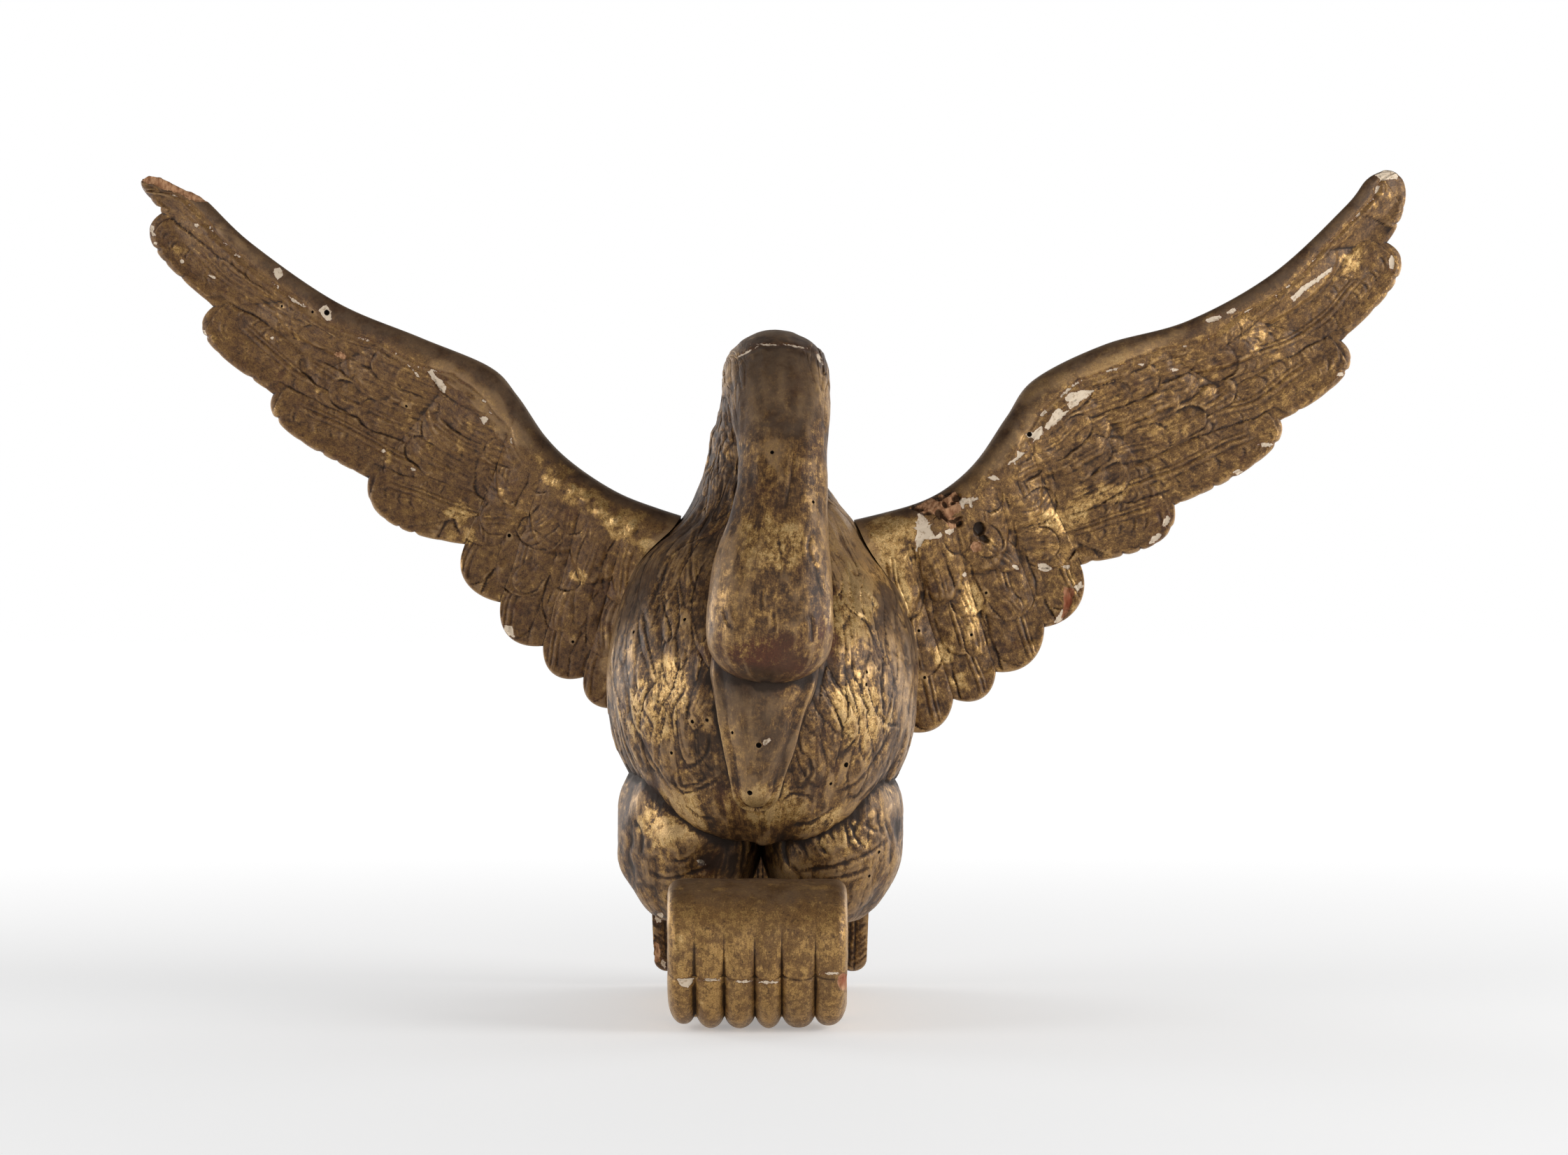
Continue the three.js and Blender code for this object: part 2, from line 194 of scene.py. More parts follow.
WING = {
    "root_y": 14,
    "sweep_from": 40,
    "sweep_span": 260,
    "sweep_back": 38,
    "sweep_power": 1.5,
    "bone_half": (17, 14, 12, 9, 7, 5.5),
    "panel_half": (9, 7.5, 6.5, 5.4, 4.6, 3.6),
    "edge_half": 2.6,
    "rear_tilt": (14, 10, 7, 4, 3, 2),
    "cup": (0, 5, 6, 5, 4, 2),
    "covert_step": (0.41, 0.45),
    "covert_height": 1.8,
    "covert_scallop": 0.05,
    "bone_fade": 2.6,
    "flute": 1.1,
    "flute_span": (0.25, 0.6),
    "feather_lean": 0.3,
    "round_feathers": (2, 6),
}
JOINT_GAP = 0.3
ROOM_FOR_LOCKS = 0.7

def colour(red, green, blue):
    """A colour as it shows on a display, 0 to 255 a channel, in the light units of a shader"""
    channels = []
    for value in (red, green, blue):
        share = value / 255
        channels.append(share / 12.92 if share <= 0.04045 else ((share + 0.055) / 1.055) ** 2.4)
    return (*channels, 1.0)


BRIGHT_GOLD = colour(222, 184, 122)
GOLD = colour(182, 142, 84)
DULL_GOLD = colour(128, 93, 51)
BRONZE = colour(98, 69, 39)
BROWN = colour(102, 71, 42)
UMBER = colour(62, 41, 23)
DARK_BROWN = colour(62, 40, 23)
# Dark specks, and the dark of dirt and of painted shade in hollows
SOOT_AND_SHADE = colour(30, 19, 11)
DUST_AND_TOP_SHADE = colour(96, 76, 56)
WORN_AND_SHEEN = colour(156, 126, 91)
BOLE = colour(92, 50, 30)
GESSO = colour(212, 194, 170)
DIRTY_GESSO = colour(150, 122, 92)
BARE_WOOD = colour(188, 144, 106)
DARK_WOOD = colour(136, 94, 64)
RED_WOOD = colour(132, 62, 36)
# Painted shade inside the worm holes
HOLE_SHADE = colour(30, 18, 11)


def ease(value, low, high):
    """0 below low, 1 above high and smooth between"""
    share = np.clip((value - low) / (high - low), 0, 1)
    return share * share * (3 - 2 * share)


def mixed(first, second, share):
    return first + (second - first) * share


def stacked(*coordinates):
    """Points from arrays of their coordinates"""
    return np.stack(np.broadcast_arrays(*coordinates), axis=-1)


def once_around(count):
    return np.linspace(0, 2 * np.pi, count, endpoint=False)


def spaced_shares(count, evenness=0.0):
    """Shares from 0 to 1 that lie closer together near both ends"""
    drawn_out = 0.5 - 0.5 * np.cos(np.linspace(0, np.pi, count))
    return mixed(drawn_out, np.linspace(0, 1, count), evenness)


def along(values, t):
    """The value at t, from 0 to 1, of numbers spaced evenly along a form"""
    return np.interp(t, np.linspace(0, 1, len(values)), values)


def unit(vectors):
    return vectors / np.maximum(np.linalg.norm(vectors, axis=-1, keepdims=True), 1e-9)


def spline(points, t):
    """Points at t, from 0 to 1, of a smooth curve through evenly counted points"""
    points = np.asarray(points, float)
    before = 2 * points[0] - points[1]
    after = 2 * points[-1] - points[-2]
    padded = np.vstack([before, points, after])
    place = np.clip(t, 0, 1) * (len(points) - 1)
    below = np.minimum(place.astype(int), len(points) - 2)
    share = (place - below)[:, None]
    first, start, end, last = (padded[below + i] for i in range(4))
    leave = (end - first) / 2
    arrive = (last - start) / 2
    square = share * share
    bend = (3 * (end - start) - 2 * leave - arrive) * square
    return start + leave * share + bend + (2 * (start - end) + leave + arrive) * square * share


def bezier(start, first, second, end, t):
    t = np.asarray(t, float)[..., None]
    left = 1 - t
    return left**3 * start + 3 * left**2 * t * first + 3 * left * t**2 * second + t**3 * end


LATTICE = 32


def cloud(places, size, seed):
    """Smooth noise, mostly within -0.6 to 0.6, whose lumps are about size across"""
    lattice = np.random.default_rng(seed).uniform(-1, 1, (LATTICE,) * 3).astype(np.float32)
    scaled = np.asarray(places, np.float32) / np.asarray(size, np.float32) + LATTICE * 4
    base = np.floor(scaled).astype(np.int32)
    share = scaled - base
    share = share * share * (3 - 2 * share)
    total = 0
    for corner in np.ndindex(2, 2, 2):
        cell = (base + np.array(corner, np.int32)) % LATTICE
        weight = np.prod(np.where(corner, share, 1 - share), axis=-1)
        total = total + weight * lattice[cell[..., 0], cell[..., 1], cell[..., 2]]
    return total


def bead(off, width):
    """1 along the middle of a thin line, falling away over its width on both sides"""
    return np.exp(-((off / width) ** 2))


def groove(phase, width):
    """Narrow cuts, 1 deep, one at each whole number of the phase"""
    return bead(phase - np.round(phase), width)


def quarter_round(inside, radius):
    """0 at an edge and 1 from a radius inside it, with the section of a quarter circle between"""
    return np.sqrt(np.clip(1 - (1 - np.minimum(inside / radius, 1)) ** 2, 0, 1))


def bellied(phase):
    """A rounded rise between each two whole numbers of the phase"""
    return 1 - (1 - 2 * np.abs(phase - np.round(phase))) ** 2


def dip(place):
    """The section of a row of lobes: 0 on a crown, at place 0, and near 1 in a groove, at -1 and 1"""
    return 1 - np.sqrt(1 - GROOVE_SHARPNESS * place * place)


def seen_pixels(points):
    """Where points show in the camera's frame, in its pixels"""
    away = points - CAMERA_PLACE
    scale = FOCAL_PIXELS / away[..., 1]
    across = FRAME_WIDTH / 2 + away[..., 0] * scale
    down = FRAME_HEIGHT / 2 - away[..., 2] * scale
    return stacked(across, down)


def grid_normals(rings):
    """Outward directions of a closed skin given as rings of points"""
    around = np.roll(rings, -1, axis=1) - np.roll(rings, 1, axis=1)
    onwards = np.gradient(rings, axis=0)
    normals = unit(np.cross(around, onwards))
    middle = rings.mean(axis=1, keepdims=True)
    outward = np.sum(normals * (rings - middle)) > 0
    return normals if outward else -normals


def new_object(name, points, faces, fields=None):
    """A mesh object from points in millimetres, arrays of faces, and values for each point"""
    mesh = bpy.data.meshes.new(name)
    mesh.vertices.add(len(points))
    set_points(mesh, points)
    corners = np.concatenate([part.ravel() for part in faces])
    counts = np.concatenate([np.full(len(part), part.shape[1]) for part in faces])
    mesh.loops.add(len(corners))
    mesh.loops.foreach_set("vertex_index", corners.astype(np.int32))
    mesh.polygons.add(len(counts))
    mesh.polygons.foreach_set("loop_start", (np.cumsum(counts) - counts).astype(np.int32))
    mesh.update(calc_edges=True)
    for field, values in (fields or {}).items():
        set_field(mesh, field, values)
    thing = bpy.data.objects.new(name, mesh)
    bpy.context.scene.collection.objects.link(thing)
    return thing


def set_field(mesh, name, values):
    kind = "FLOAT_VECTOR" if np.ndim(values) == 2 else "FLOAT"
    layer = mesh.attributes.get(name) or mesh.attributes.new(name, kind, "POINT")
    key = "vector" if kind == "FLOAT_VECTOR" else "value"
    layer.data.foreach_set(key, np.asarray(values, np.float32).ravel())


def get_field(mesh, name):
    layer = mesh.attributes[name]
    vector = layer.data_type == "FLOAT_VECTOR"
    values = np.empty(len(mesh.vertices) * (3 if vector else 1), np.float32)
    layer.data.foreach_get("vector" if vector else "value", values)
    return values.reshape(-1, 3) if vector else values


def set_points(mesh, points):
    mesh.vertices.foreach_set("co", (np.asarray(points) * MM).astype(np.float32).ravel())


def points_of(mesh):
    values = np.empty(len(mesh.vertices) * 3, np.float32)
    mesh.vertices.foreach_get("co", values)
    return values.reshape(-1, 3) / MM


def normals_of(mesh):
    values = np.empty(len(mesh.vertices) * 3, np.float32)
    mesh.vertex_normals.foreach_get("vector", values)
    return values.reshape(-1, 3)


def edges_of(mesh):
    values = np.empty(len(mesh.edges) * 2, np.int32)
    mesh.edges.foreach_get("vertices", values)
    return values.reshape(-1, 2)


def skin(name, rings, fields, last_pole=None):
    """A closed skin over rings of points, drawn together to a point at each end"""
    rows, columns = rings.shape[:2]
    if last_pole is None:
        last_pole = rings[-1].mean(axis=0)
    points = np.vstack([rings.reshape(-1, 3), rings[0].mean(axis=0), last_pole])
    index = np.arange(rows * columns).reshape(rows, columns)
    right = np.roll(index, -1, axis=1)
    quads = np.stack([index[:-1], right[:-1], right[1:], index[1:]], axis=-1).reshape(-1, 4)
    first = np.full(columns, rows * columns)
    last = first + 1
    ends = np.vstack([
        np.stack([first, right[0], index[0]], axis=-1),
        np.stack([last, index[-1], right[-1]], axis=-1),
    ])
    low = points[quads[:, 0]]
    facing = np.cross(points[quads[:, 1]] - low, points[quads[:, 2]] - low)
    volume = np.sum(facing * (low - points.mean(axis=0)))
    if volume < 0:
        quads = quads[:, ::-1]
        ends = ends[:, ::-1]
    spread = {}
    for field, values in fields.items():
        flat = values.reshape(rows * columns, *values.shape[2:])
        ends_mean = [flat[:columns].mean(axis=0), flat[-columns:].mean(axis=0)]
        spread[field] = np.concatenate([flat, np.stack(ends_mean)])
    spread["carved"] = np.ones(len(points))
    return new_object(name, points, [quads, ends], spread)


def with_modifiers_applied(thing):
    graph = bpy.context.evaluated_depsgraph_get()
    mesh = bpy.data.meshes.new_from_object(thing.evaluated_get(graph))
    old = thing.data
    thing.modifiers.clear()
    thing.data = mesh
    bpy.data.meshes.remove(old)


def joined(base, tools, operation="UNION", keep_tools=False):
    """The base with the tools joined to it or cut from it"""
    for tool in tools:
        cut = base.modifiers.new("join", "BOOLEAN")
        cut.operation = operation
        cut.solver = "MANIFOLD"
        cut.object = tool
    with_modifiers_applied(base)
    if not keep_tools:
        for tool in tools:
            bpy.data.meshes.remove(tool.data)


HEALING_ROUNDS = 4
CLOSING_ROUNDS = 3


def heal_seams(mesh, fields):
    """Gives the points made by a join the values of their neighbours"""
    made = get_field(mesh, "carved") > 0.5
    edges = edges_of(mesh)
    values = {name: get_field(mesh, name) for name in fields}
    for _ in range(HEALING_ROUNDS):
        if made.all():
            break
        ends = np.vstack([edges, edges[:, ::-1]])
        ends = ends[~made[ends[:, 0]] & made[ends[:, 1]]]
        count = np.bincount(ends[:, 0], minlength=len(made))
        got = (count > 0) & ~made
        for name, old in values.items():
            table = old.reshape(len(made), -1)
            for column in table.T:
                total = np.bincount(ends[:, 0], weights=column[ends[:, 1]], minlength=len(made))
                column[got] = (total / np.maximum(count, 1))[got]
        made = made | got
    for name, healed in values.items():
        set_field(mesh, name, healed)


def thinned(thing, triangles):
    """Fewer faces where the surface is plain"""
    mesh = thing.data
    now = len(mesh.loops) - 2 * len(mesh.polygons)
    if now > triangles:
        fewer = thing.modifiers.new("fewer", "DECIMATE")
        fewer.ratio = triangles / now
        fewer.use_collapse_triangulate = True
        with_modifiers_applied(thing)
    work = bmesh.new()
    work.from_mesh(thing.data)
    bmesh.ops.dissolve_degenerate(work, dist=SMALLEST_EDGE * MM, edges=work.edges)
    for _ in range(CLOSING_ROUNDS):
        crowded = [face for edge in work.edges if len(edge.link_faces) > 2 for face in edge.link_faces]
        if crowded:
            bmesh.ops.delete(work, geom=list(set(crowded)), context="FACES")
        loose = [edge for edge in work.edges if not edge.link_faces]
        if loose:
            bmesh.ops.delete(work, geom=loose, context="EDGES")
        open_edges = [edge for edge in work.edges if edge.is_boundary]
        if not open_edges:
            break
        filled = bmesh.ops.holes_fill(work, edges=open_edges, sides=0)["faces"]
        bmesh.ops.triangulate(work, faces=filled)
    work.to_mesh(thing.data)
    work.free()


def block(low, high):
    """A box from its lowest to its highest corner"""
    corners = np.array([[(low, high)[i][0], (low, high)[j][1], (low, high)[k][2]]
                        for i in (0, 1) for j in (0, 1) for k in (0, 1)])
    faces = np.array([[0, 1, 3, 2], [4, 6, 7, 5], [0, 4, 5, 1], [2, 3, 7, 6], [0, 2, 6, 4], [1, 5, 7, 3]])
    return new_object("block", corners, [faces])


# Swept forms


def cap_share(t, form):
    share = np.minimum(np.minimum(t / form["cap_start"], (1 - t) / form["cap_end"]), 1)
    power = form["cap_power"]
    return np.maximum(0, 1 - (1 - share) ** power) ** (1 / power)


def spine_frame(form, t):
    stations = np.array(form["stations"], float)
    step = 1e-4
    ahead = spline(stations[:, :3], np.minimum(t + step, 1))
    behind = spline(stations[:, :3], np.maximum(t - step, 0))
    tangent = unit(ahead - behind)
    across = unit(np.array([1.0, 0, 0]) - tangent * tangent[:, :1])
    return spline(stations[:, :3], t), tangent, across, np.cross(tangent, across)


def swept(form, t, angle, grow=0.0):
    """Points of an oval carried along a curved spine: a row for each t, a column for each angle"""
    middle, _, across, deep = spine_frame(form, t)
    halves = spline(np.array(form["stations"], float)[:, 3:], t) + grow
    halves = halves * cap_share(t, form)[:, None]
    power = mixed(2, form["squareness"], ease(t, form["square_from"], form["square_full"]))
    square = 2 / power[:, None]
    cos, sin = np.cos(angle), np.sin(angle)
    sideways = across[:, None] * (halves[:, :1] * np.sign(cos) * np.abs(cos) ** square)[..., None]
    forwards = deep[:, None] * (halves[:, 1:] * np.sign(sin) * np.abs(sin) ** square)[..., None]
    return middle[:, None] + sideways + forwards


DENSE_PLACES = 4000
EVEN_SHARE = 0.35


def even_rows(form, step):
    """Places along a swept form that lie an even step apart over its skin, and their way along it"""
    dense = spaced_shares(DENSE_PLACES, EVEN_SHARE)
    middle, _, _, _ = spine_frame(form, dense)
    run = np.concatenate([[0], np.cumsum(np.linalg.norm(np.diff(middle, axis=0), axis=1))])
    radius = spline(np.array(form["stations"], float)[:, 3:], dense).mean(axis=1)
    radius = radius * cap_share(dense, form)
    skin_way = np.concatenate([[0], np.cumsum(np.hypot(np.diff(run), np.diff(radius)))])
    count = int(skin_way[-1] / step)
    wanted = np.linspace(0, skin_way[-1], count + 1)[1:-1]
    t = np.interp(wanted, skin_way, dense)
    return t, np.interp(t, dense, run)


def tube(name, form, step, columns, relief, aim=None, bend=None):
    """A swept form, bent, then lifted by the heights that relief gives together with the flow lines"""
    t, way = even_rows(form, step)
    turn = once_around(columns)[None, :]
    focus = np.zeros_like(t) if aim is None else aim(t)
    angle = turn + focus[:, None] * np.sin(turn - np.pi / 2)
    rings = swept(form, t, angle)
    if bend:
        rings = bend(rings)
    height, flow = relief(t, way, angle, rings)
    rings = rings + grid_normals(rings) * height[..., None]
    return skin(name, rings, {"flow": flow})


def ball_places(places, angle, radius, along_size, across_size):
    """Coordinates in which noise runs on along a form and meets itself around it"""
    return stacked(np.cos(angle) * radius / across_size, np.sin(angle) * radius / across_size,
                   places / along_size)


# Strokes of the chisel that show most, each through points in the camera's frame
BREAST_STROKES = (
    ((968, 1100), (965, 1116), (978, 1132), (997, 1129), (1019, 1119), (1032, 1110)),
    ((975, 1106), (977, 1122), (993, 1122), (1012, 1110)),
    ((1013, 1046), (1013, 1072), (997, 1091), (972, 1100)),
    ((981, 970), (978, 989), (965, 1008), (959, 1027), (962, 1052)),
    ((936, 976), (924, 995), (921, 1014), (933, 1033), (936, 1052)),
    ((901, 963), (900, 995), (905, 1027), (917, 1059), (933, 1091), (956, 1123), (965, 1142)),
    ((879, 992), (884, 1021), (895, 1052), (908, 1084), (924, 1116), (940, 1135)),
    ((968, 919), (967, 938), (972, 957), (980, 944), (983, 922)),
    ((946, 887), (952, 861), (962, 842)),
    ((1000, 750), (988, 788), (991, 829), (1000, 855)),
    ((956, 804), (940, 845), (930, 877)),
    ((992, 1000), (985, 1014), (990, 1030), (1000, 1040)),
    ((1179, 947), (1195, 976), (1214, 1001), (1227, 1027), (1227, 1052), (1211, 1075), (1198, 1087)),
    ((1172, 982), (1192, 1011), (1204, 1036), (1207, 1059)),
    ((1230, 989), (1239, 1008), (1246, 1021)),
    ((1255, 1001), (1258, 1021), (1271, 1036), (1287, 1036)),
    ((1258, 922), (1265, 944), (1262, 976), (1265, 1011)),
    ((1278, 931), (1297, 950), (1300, 982)),
    ((1198, 845), (1217, 874), (1239, 890), (1249, 919)),
    ((1217, 813), (1236, 845), (1258, 877)),
    ((1141, 1046), (1144, 1072), (1156, 1084), (1160, 1107), (1147, 1123)),
    ((1115, 1151), (1131, 1137), (1153, 1138), (1163, 1150)),
    ((1195, 1135), (1220, 1123), (1243, 1100), (1262, 1072), (1278, 1040)),
    ((1227, 1148), (1255, 1123), (1278, 1091), (1290, 1059)),
    ((980, 1150), (1000, 1166), (1024, 1172)),
    ((1130, 1182), (1160, 1176), (1190, 1160)),
    ((1030, 556), (1036, 582), (1045, 608)),
    ((1027, 584), (1036, 612), (1045, 640)),
    ((1024, 615), (1032, 645), (1042, 668)),
    ((1034, 535), (1040, 556), (1046, 574)),
    ((1018, 660), (1012, 700), (1000, 740)),
    ((1036, 680), (1030, 720), (1018, 760)),
    ((1046, 508), (1070, 489), (1110, 481), (1150, 488), (1174, 508)),
    ((1040, 522), (1062, 499), (1110, 487), (1155, 496), (1180, 520)),
)
HEAD_STROKES = (
    ((1160, 759), (1156, 785), (1166, 813), (1174, 842), (1179, 868)),
    ((1156, 877), (1161, 893), (1161, 919)),
    ((1112, 769), (1115, 785), (1118, 804)),
    ((1090, 842), (1088, 858), (1090, 870)),
    ((1034, 868), (1039, 887), (1048, 899)),
    ((1105, 874), (1107, 893), (1104, 905)),
    ((1044, 521), (1061, 508), (1100, 493), (1131, 494), (1157, 502), (1179, 523)),
    ((1170, 545), (1178, 562), (1184, 576)),
    ((1136, 640), (1130, 690), (1122, 730)),
)


STROKE_POINTS = 5
STROKE_MARGIN = 12
# The burr beside a stroke, as shares of the stroke's depth and width
BURR_HEIGHT = 0.4
BURR_PLACE = 2.3


def chiselled(pixels, strokes, depth, width):
    """Heights left by hand strokes that taper at both ends, with a small rise on each side"""
    height = np.zeros(pixels.shape[:-1])
    for stroke in strokes:
        curve = spline(stroke, np.linspace(0, 1, STROKE_POINTS * len(stroke)))
        low = curve.min(axis=0) - STROKE_MARGIN
        high = curve.max(axis=0) + STROKE_MARGIN
        near = np.all((pixels > low) & (pixels < high), axis=-1)
        way, _, length = nearest_on(curve, pixels[near])
        share = np.clip(way / length, 0, 1)
        off = nearest_off(curve, pixels[near]) / PIXELS_A_MM
        taper = np.clip(4 * share * (1 - share) * 1.6, 0, 1)
        cut = -bead(off, width) + BURR_HEIGHT * bead(off - BURR_PLACE * width, width)
        height[near] += depth * taper * cut
    return height


def nearest_off(curve, places):
    """Distance from the nearest point of a line"""
    best = np.full(places.shape[:-1], 1e9)
    for start, end in zip(curve[:-1], curve[1:]):
        step = end - start
        share = np.clip((places - start) @ step / (step @ step), 0, 1)
        best = np.minimum(best, np.linalg.norm(places - start - share[..., None] * step, axis=-1))
    return best


def nearest_on(line, places, normals=None):
    """Way along a line, and signed distance beside it, of the nearest point on it

    On a flat sheet the line runs on straight past its ends; over a skin, given its normals, it stops there.
    """
    best = np.full(places.shape[:-1], 1e9)
    way = np.zeros_like(best)
    side = np.zeros_like(best)
    run = 0.0
    flat = normals is None
    for i, (start, end) in enumerate(zip(line[:-1], line[1:])):
        length = max(np.linalg.norm(end - start), 1e-6)
        direction = (end - start) / length
        off = places - start
        lowest = -1e9 if flat and i == 0 else 0
        highest = 1e9 if flat and i == len(line) - 2 else length
        held = np.clip(off @ direction, lowest, highest)
        away = off - held[..., None] * direction
        if flat:
            distance = np.hypot(away[..., 0], away[..., 1])
            beside = direction[0] * off[..., 1] - direction[1] * off[..., 0]
        else:
            distance = np.linalg.norm(away, axis=-1)
            beside = np.sign(np.sum(away * np.cross(normals, direction), axis=-1)) * distance
        closer = distance < best
        best = np.where(closer, distance, best)
        way = np.where(closer, run + held, way)
        side = np.where(closer, beside, side)
        run += length
    return way, side, run


# The cuff of upright ridges on the thigh at the viewer's right: where its cuts start, in the same frame
CUFF_LEFT = 1122
CUFF_TOP = 1196
CUFF_STEP = 13.5
CUFF_RISE = 3.4
CUFF_LEAN = 10
CUFF_LENGTH = 44
CUFF_CUTS = 11


def cuff_cut(k):
    """One cut of the cuff, a little out of place like all hand work"""
    x = CUFF_LEFT + CUFF_STEP * k + 3.4 * math.sin(2.3 * k)
    y = CUFF_TOP - CUFF_RISE * k + 6 * math.sin(1.7 * k)
    length = CUFF_LENGTH * (0.72 + 0.33 * math.sin(3.1 * k + 1))
    return (x, y), (x + CUFF_LEAN * 0.7 * math.sin(1.3 * k), y + length / 2), (x + CUFF_LEAN, y + length)


THIGH_STROKES = tuple(cuff_cut(k) for k in range(CUFF_CUTS)) + (
    ((1140, 1246), (1190, 1240), (1240, 1222), (1275, 1196)),
    ((960, 1228), (974, 1231), (988, 1226)),
    ((1003, 1226), (1003, 1236), (1010, 1238)),
    ((890, 1180), (900, 1200), (896, 1226), (906, 1250)),
    ((905, 1170), (916, 1196), (914, 1226)),
    ((925, 1244), (950, 1256), (985, 1250), (1020, 1240)),
    ((1150, 1262), (1200, 1256), (1250, 1240)),
    ((1262, 1170), (1276, 1200), (1274, 1240)),
    ((1060, 1196), (1064, 1220), (1060, 1250)),
)


# Carving of the body


# Locks of feathers over the trunk: along and across, each on the breast and on the neck
LOCK_LENGTH = (46, 26)
LOCK_WIDTH = (12.5, 7.5)
LOCK_OVERLAP = 0.42
LOCK_POINTS = 12
LOCKS_FROM_WAY = 18.0
LOCKS_TO = 0.72
LOCK_BELLY = 0.95
LOCK_LIP = 0.22
LOCK_LINE = 0.26
# The radii that the noise and the flow lines run around on
BREAST_RADIUS = 72
NECK_RADIUS = 25
# Depth and width of the chisel's strokes
BREAST_STROKE = (0.42, 0.65)
HEAD_STROKE = (0.3, 0.8)
THIGH_STROKE = (0.5, 0.8)
# Places along the trunk, from 0 at its foot to 1 at the tip of the head
HEAD_STROKES_FROM = 0.55
NECK_FROM = 0.36
NECK_FULL = 0.5
HEAD_FROM = 0.74
HEAD_FULL = 0.84


def lock_list(t, way):
    """Locks in rows from the tail's end of the breast upwards: their points along, angles and widths"""
    chance = np.random.default_rng(seed=7)
    radius = spline(np.array(TRUNK["stations"], float)[:, 3:], t).mean(axis=1) * cap_share(t, TRUNK)
    locks = []
    root_way = LOCKS_FROM_WAY
    row = 0
    while np.interp(root_way, way, t) < LOCKS_TO:
        neck = float(ease(np.interp(root_way, way, t), NECK_FROM, NECK_FULL))
        length = mixed(*LOCK_LENGTH, neck)
        width = mixed(*LOCK_WIDTH, neck)
        around = 2 * np.pi * np.interp(root_way, way, radius)
        count = max(3, int(1.25 * around / width))
        for k in range(count):
            scale = chance.uniform(0.75, 1.3)
            own_length = length * chance.uniform(0.7, 1.25)
            shares = np.linspace(0, 1, LOCK_POINTS)
            places = root_way + chance.uniform(-0.2, 0.2) * length - own_length * shares
            places = np.maximum(places, way[0])
            angle = 2 * np.pi * (k + 0.5 * (row % 2) + chance.uniform(-0.3, 0.3)) / count
            local = np.maximum(np.interp(places, way, radius), 8)
            drift = ball_places(places, np.full(LOCK_POINTS, angle), local, 42, 24)
            wave = chance.uniform(0.8, 3.2) * np.sin(shares * chance.uniform(2.0, 7.0)
                                                     + chance.uniform(0, 2 * np.pi))
            drifted = cloud(drift, 1.0, seed=17)
            bent = 13 * (drifted - drifted[:1]) + wave * mixed(1.0, 0.6, neck)
            turned = angle + bent / local
            locks.append((places, turned, width * scale, chance.uniform(0.5, 1.2)))
        root_way += length * LOCK_OVERLAP
        row += 1
    return locks


def lay_locks(t, way, angle, rings, height, flow):
    """Draws each lock over those below it: a low belly, a lip at its edge and fine lines along it"""
    normals = grid_normals(rings)
    turn = np.mod(angle, 2 * np.pi)
    for number, (places, turned, width, strength) in enumerate(lock_list(t, way)):
        line = swept(TRUNK, np.interp(places, way, t), turned[:, None])[:, 0]
        rows = np.nonzero((way > places.min() - width) & (way < places.max() + width))[0]
        middle_row = rows[len(rows) // 2]
        ring = rings[middle_row]
        radius = np.linalg.norm(ring - ring.mean(axis=0), axis=1).min()
        middle = turned.mean()
        reach = np.ptp(turned) / 2 + 1.3 * width / max(radius, 6)
        off = np.abs(np.mod(turn[middle_row] - middle + np.pi, 2 * np.pi) - np.pi)
        columns = np.nonzero(off < reach)[0]
        window = np.ix_(rows, columns)
        way_on, side, run = nearest_on(line, rings[window], normals[window])
        share = np.clip(way_on / run, 0, 1)
        half = width / 2 * np.sqrt(np.clip(np.sin(np.pi * np.clip(share * 0.9 + 0.1, 0, 1)), 0, 1))
        edge = half - np.abs(side)
        across = np.clip(side / np.maximum(half, 0.5), -1, 1)
        belly = LOCK_BELLY * (1 - across**2)
        lip = -LOCK_LIP * bead(edge, 0.6)
        lines = groove(across * 2.5 + 0.5 + 0.25 * np.sin(share * 5 + number), 0.1 + 0.02 * width / 10)
        lines = LOCK_LINE * lines * ease(share, 0.02, 0.2) * (1 - ease(share, 0.85, 1))
        carved = belly + lip - lines
        blend = (edge > 0) * (way_on > 0) * (way_on < run) * ease(share, 0, 0.35)
        height[window] = mixed(height[window], strength * carved, blend)
        own = stacked(side, 9.0 * (number % 97), way_on)
        flow[window] = np.where((blend > 0.5)[..., None], own, flow[window])
    return height, flow


def trunk_relief(t, way, angle, rings):
    """Overlapping locks of feathers on the breast and neck, and a smooth, uneven head"""
    carving = bpy.context.scene.swan_carving
    neck = ease(t, NECK_FROM, NECK_FULL)[:, None]
    head = ease(t, HEAD_FROM, HEAD_FULL)[:, None]
    radius = mixed(BREAST_RADIUS, NECK_RADIUS, neck)
    places = way[:, None]
    normals = grid_normals(rings)
    front = normals[..., 1] < -0.15
    pixels = seen_pixels(rings)
    flow = stacked(radius * np.cos(angle), radius * np.sin(angle), places)
    height, flow = lay_locks(t, way, angle, rings, np.zeros(angle.shape), flow)
    height = height * carving.lock_height / MM
    swells = cloud(ball_places(places, angle, radius, 30, 15), 1.0, seed=15)
    ripples = cloud(ball_places(places, angle, radius, 7, 4), 1.0, seed=18)
    height = height + carving.swell_height / MM * (swells + 0.25 * ripples) * (1 - 0.6 * head)
    on_head = t > HEAD_STROKES_FROM
    breast = chiselled(pixels, BREAST_STROKES, *BREAST_STROKE) * ~on_head[:, None]
    smooth_top = np.maximum(neck_block(t, normals), ease(normals[..., 2], 0.5, 0.85) * neck)
    smooth_top = np.maximum(smooth_top, head)
    height = height * (1 - smooth_top) + (0.5 * swells + 0.25 * ripples) * smooth_top
    height = height + (breast + chiselled(pixels, HEAD_STROKES, *HEAD_STROKE) * on_head[:, None]) * front
    return height, flow


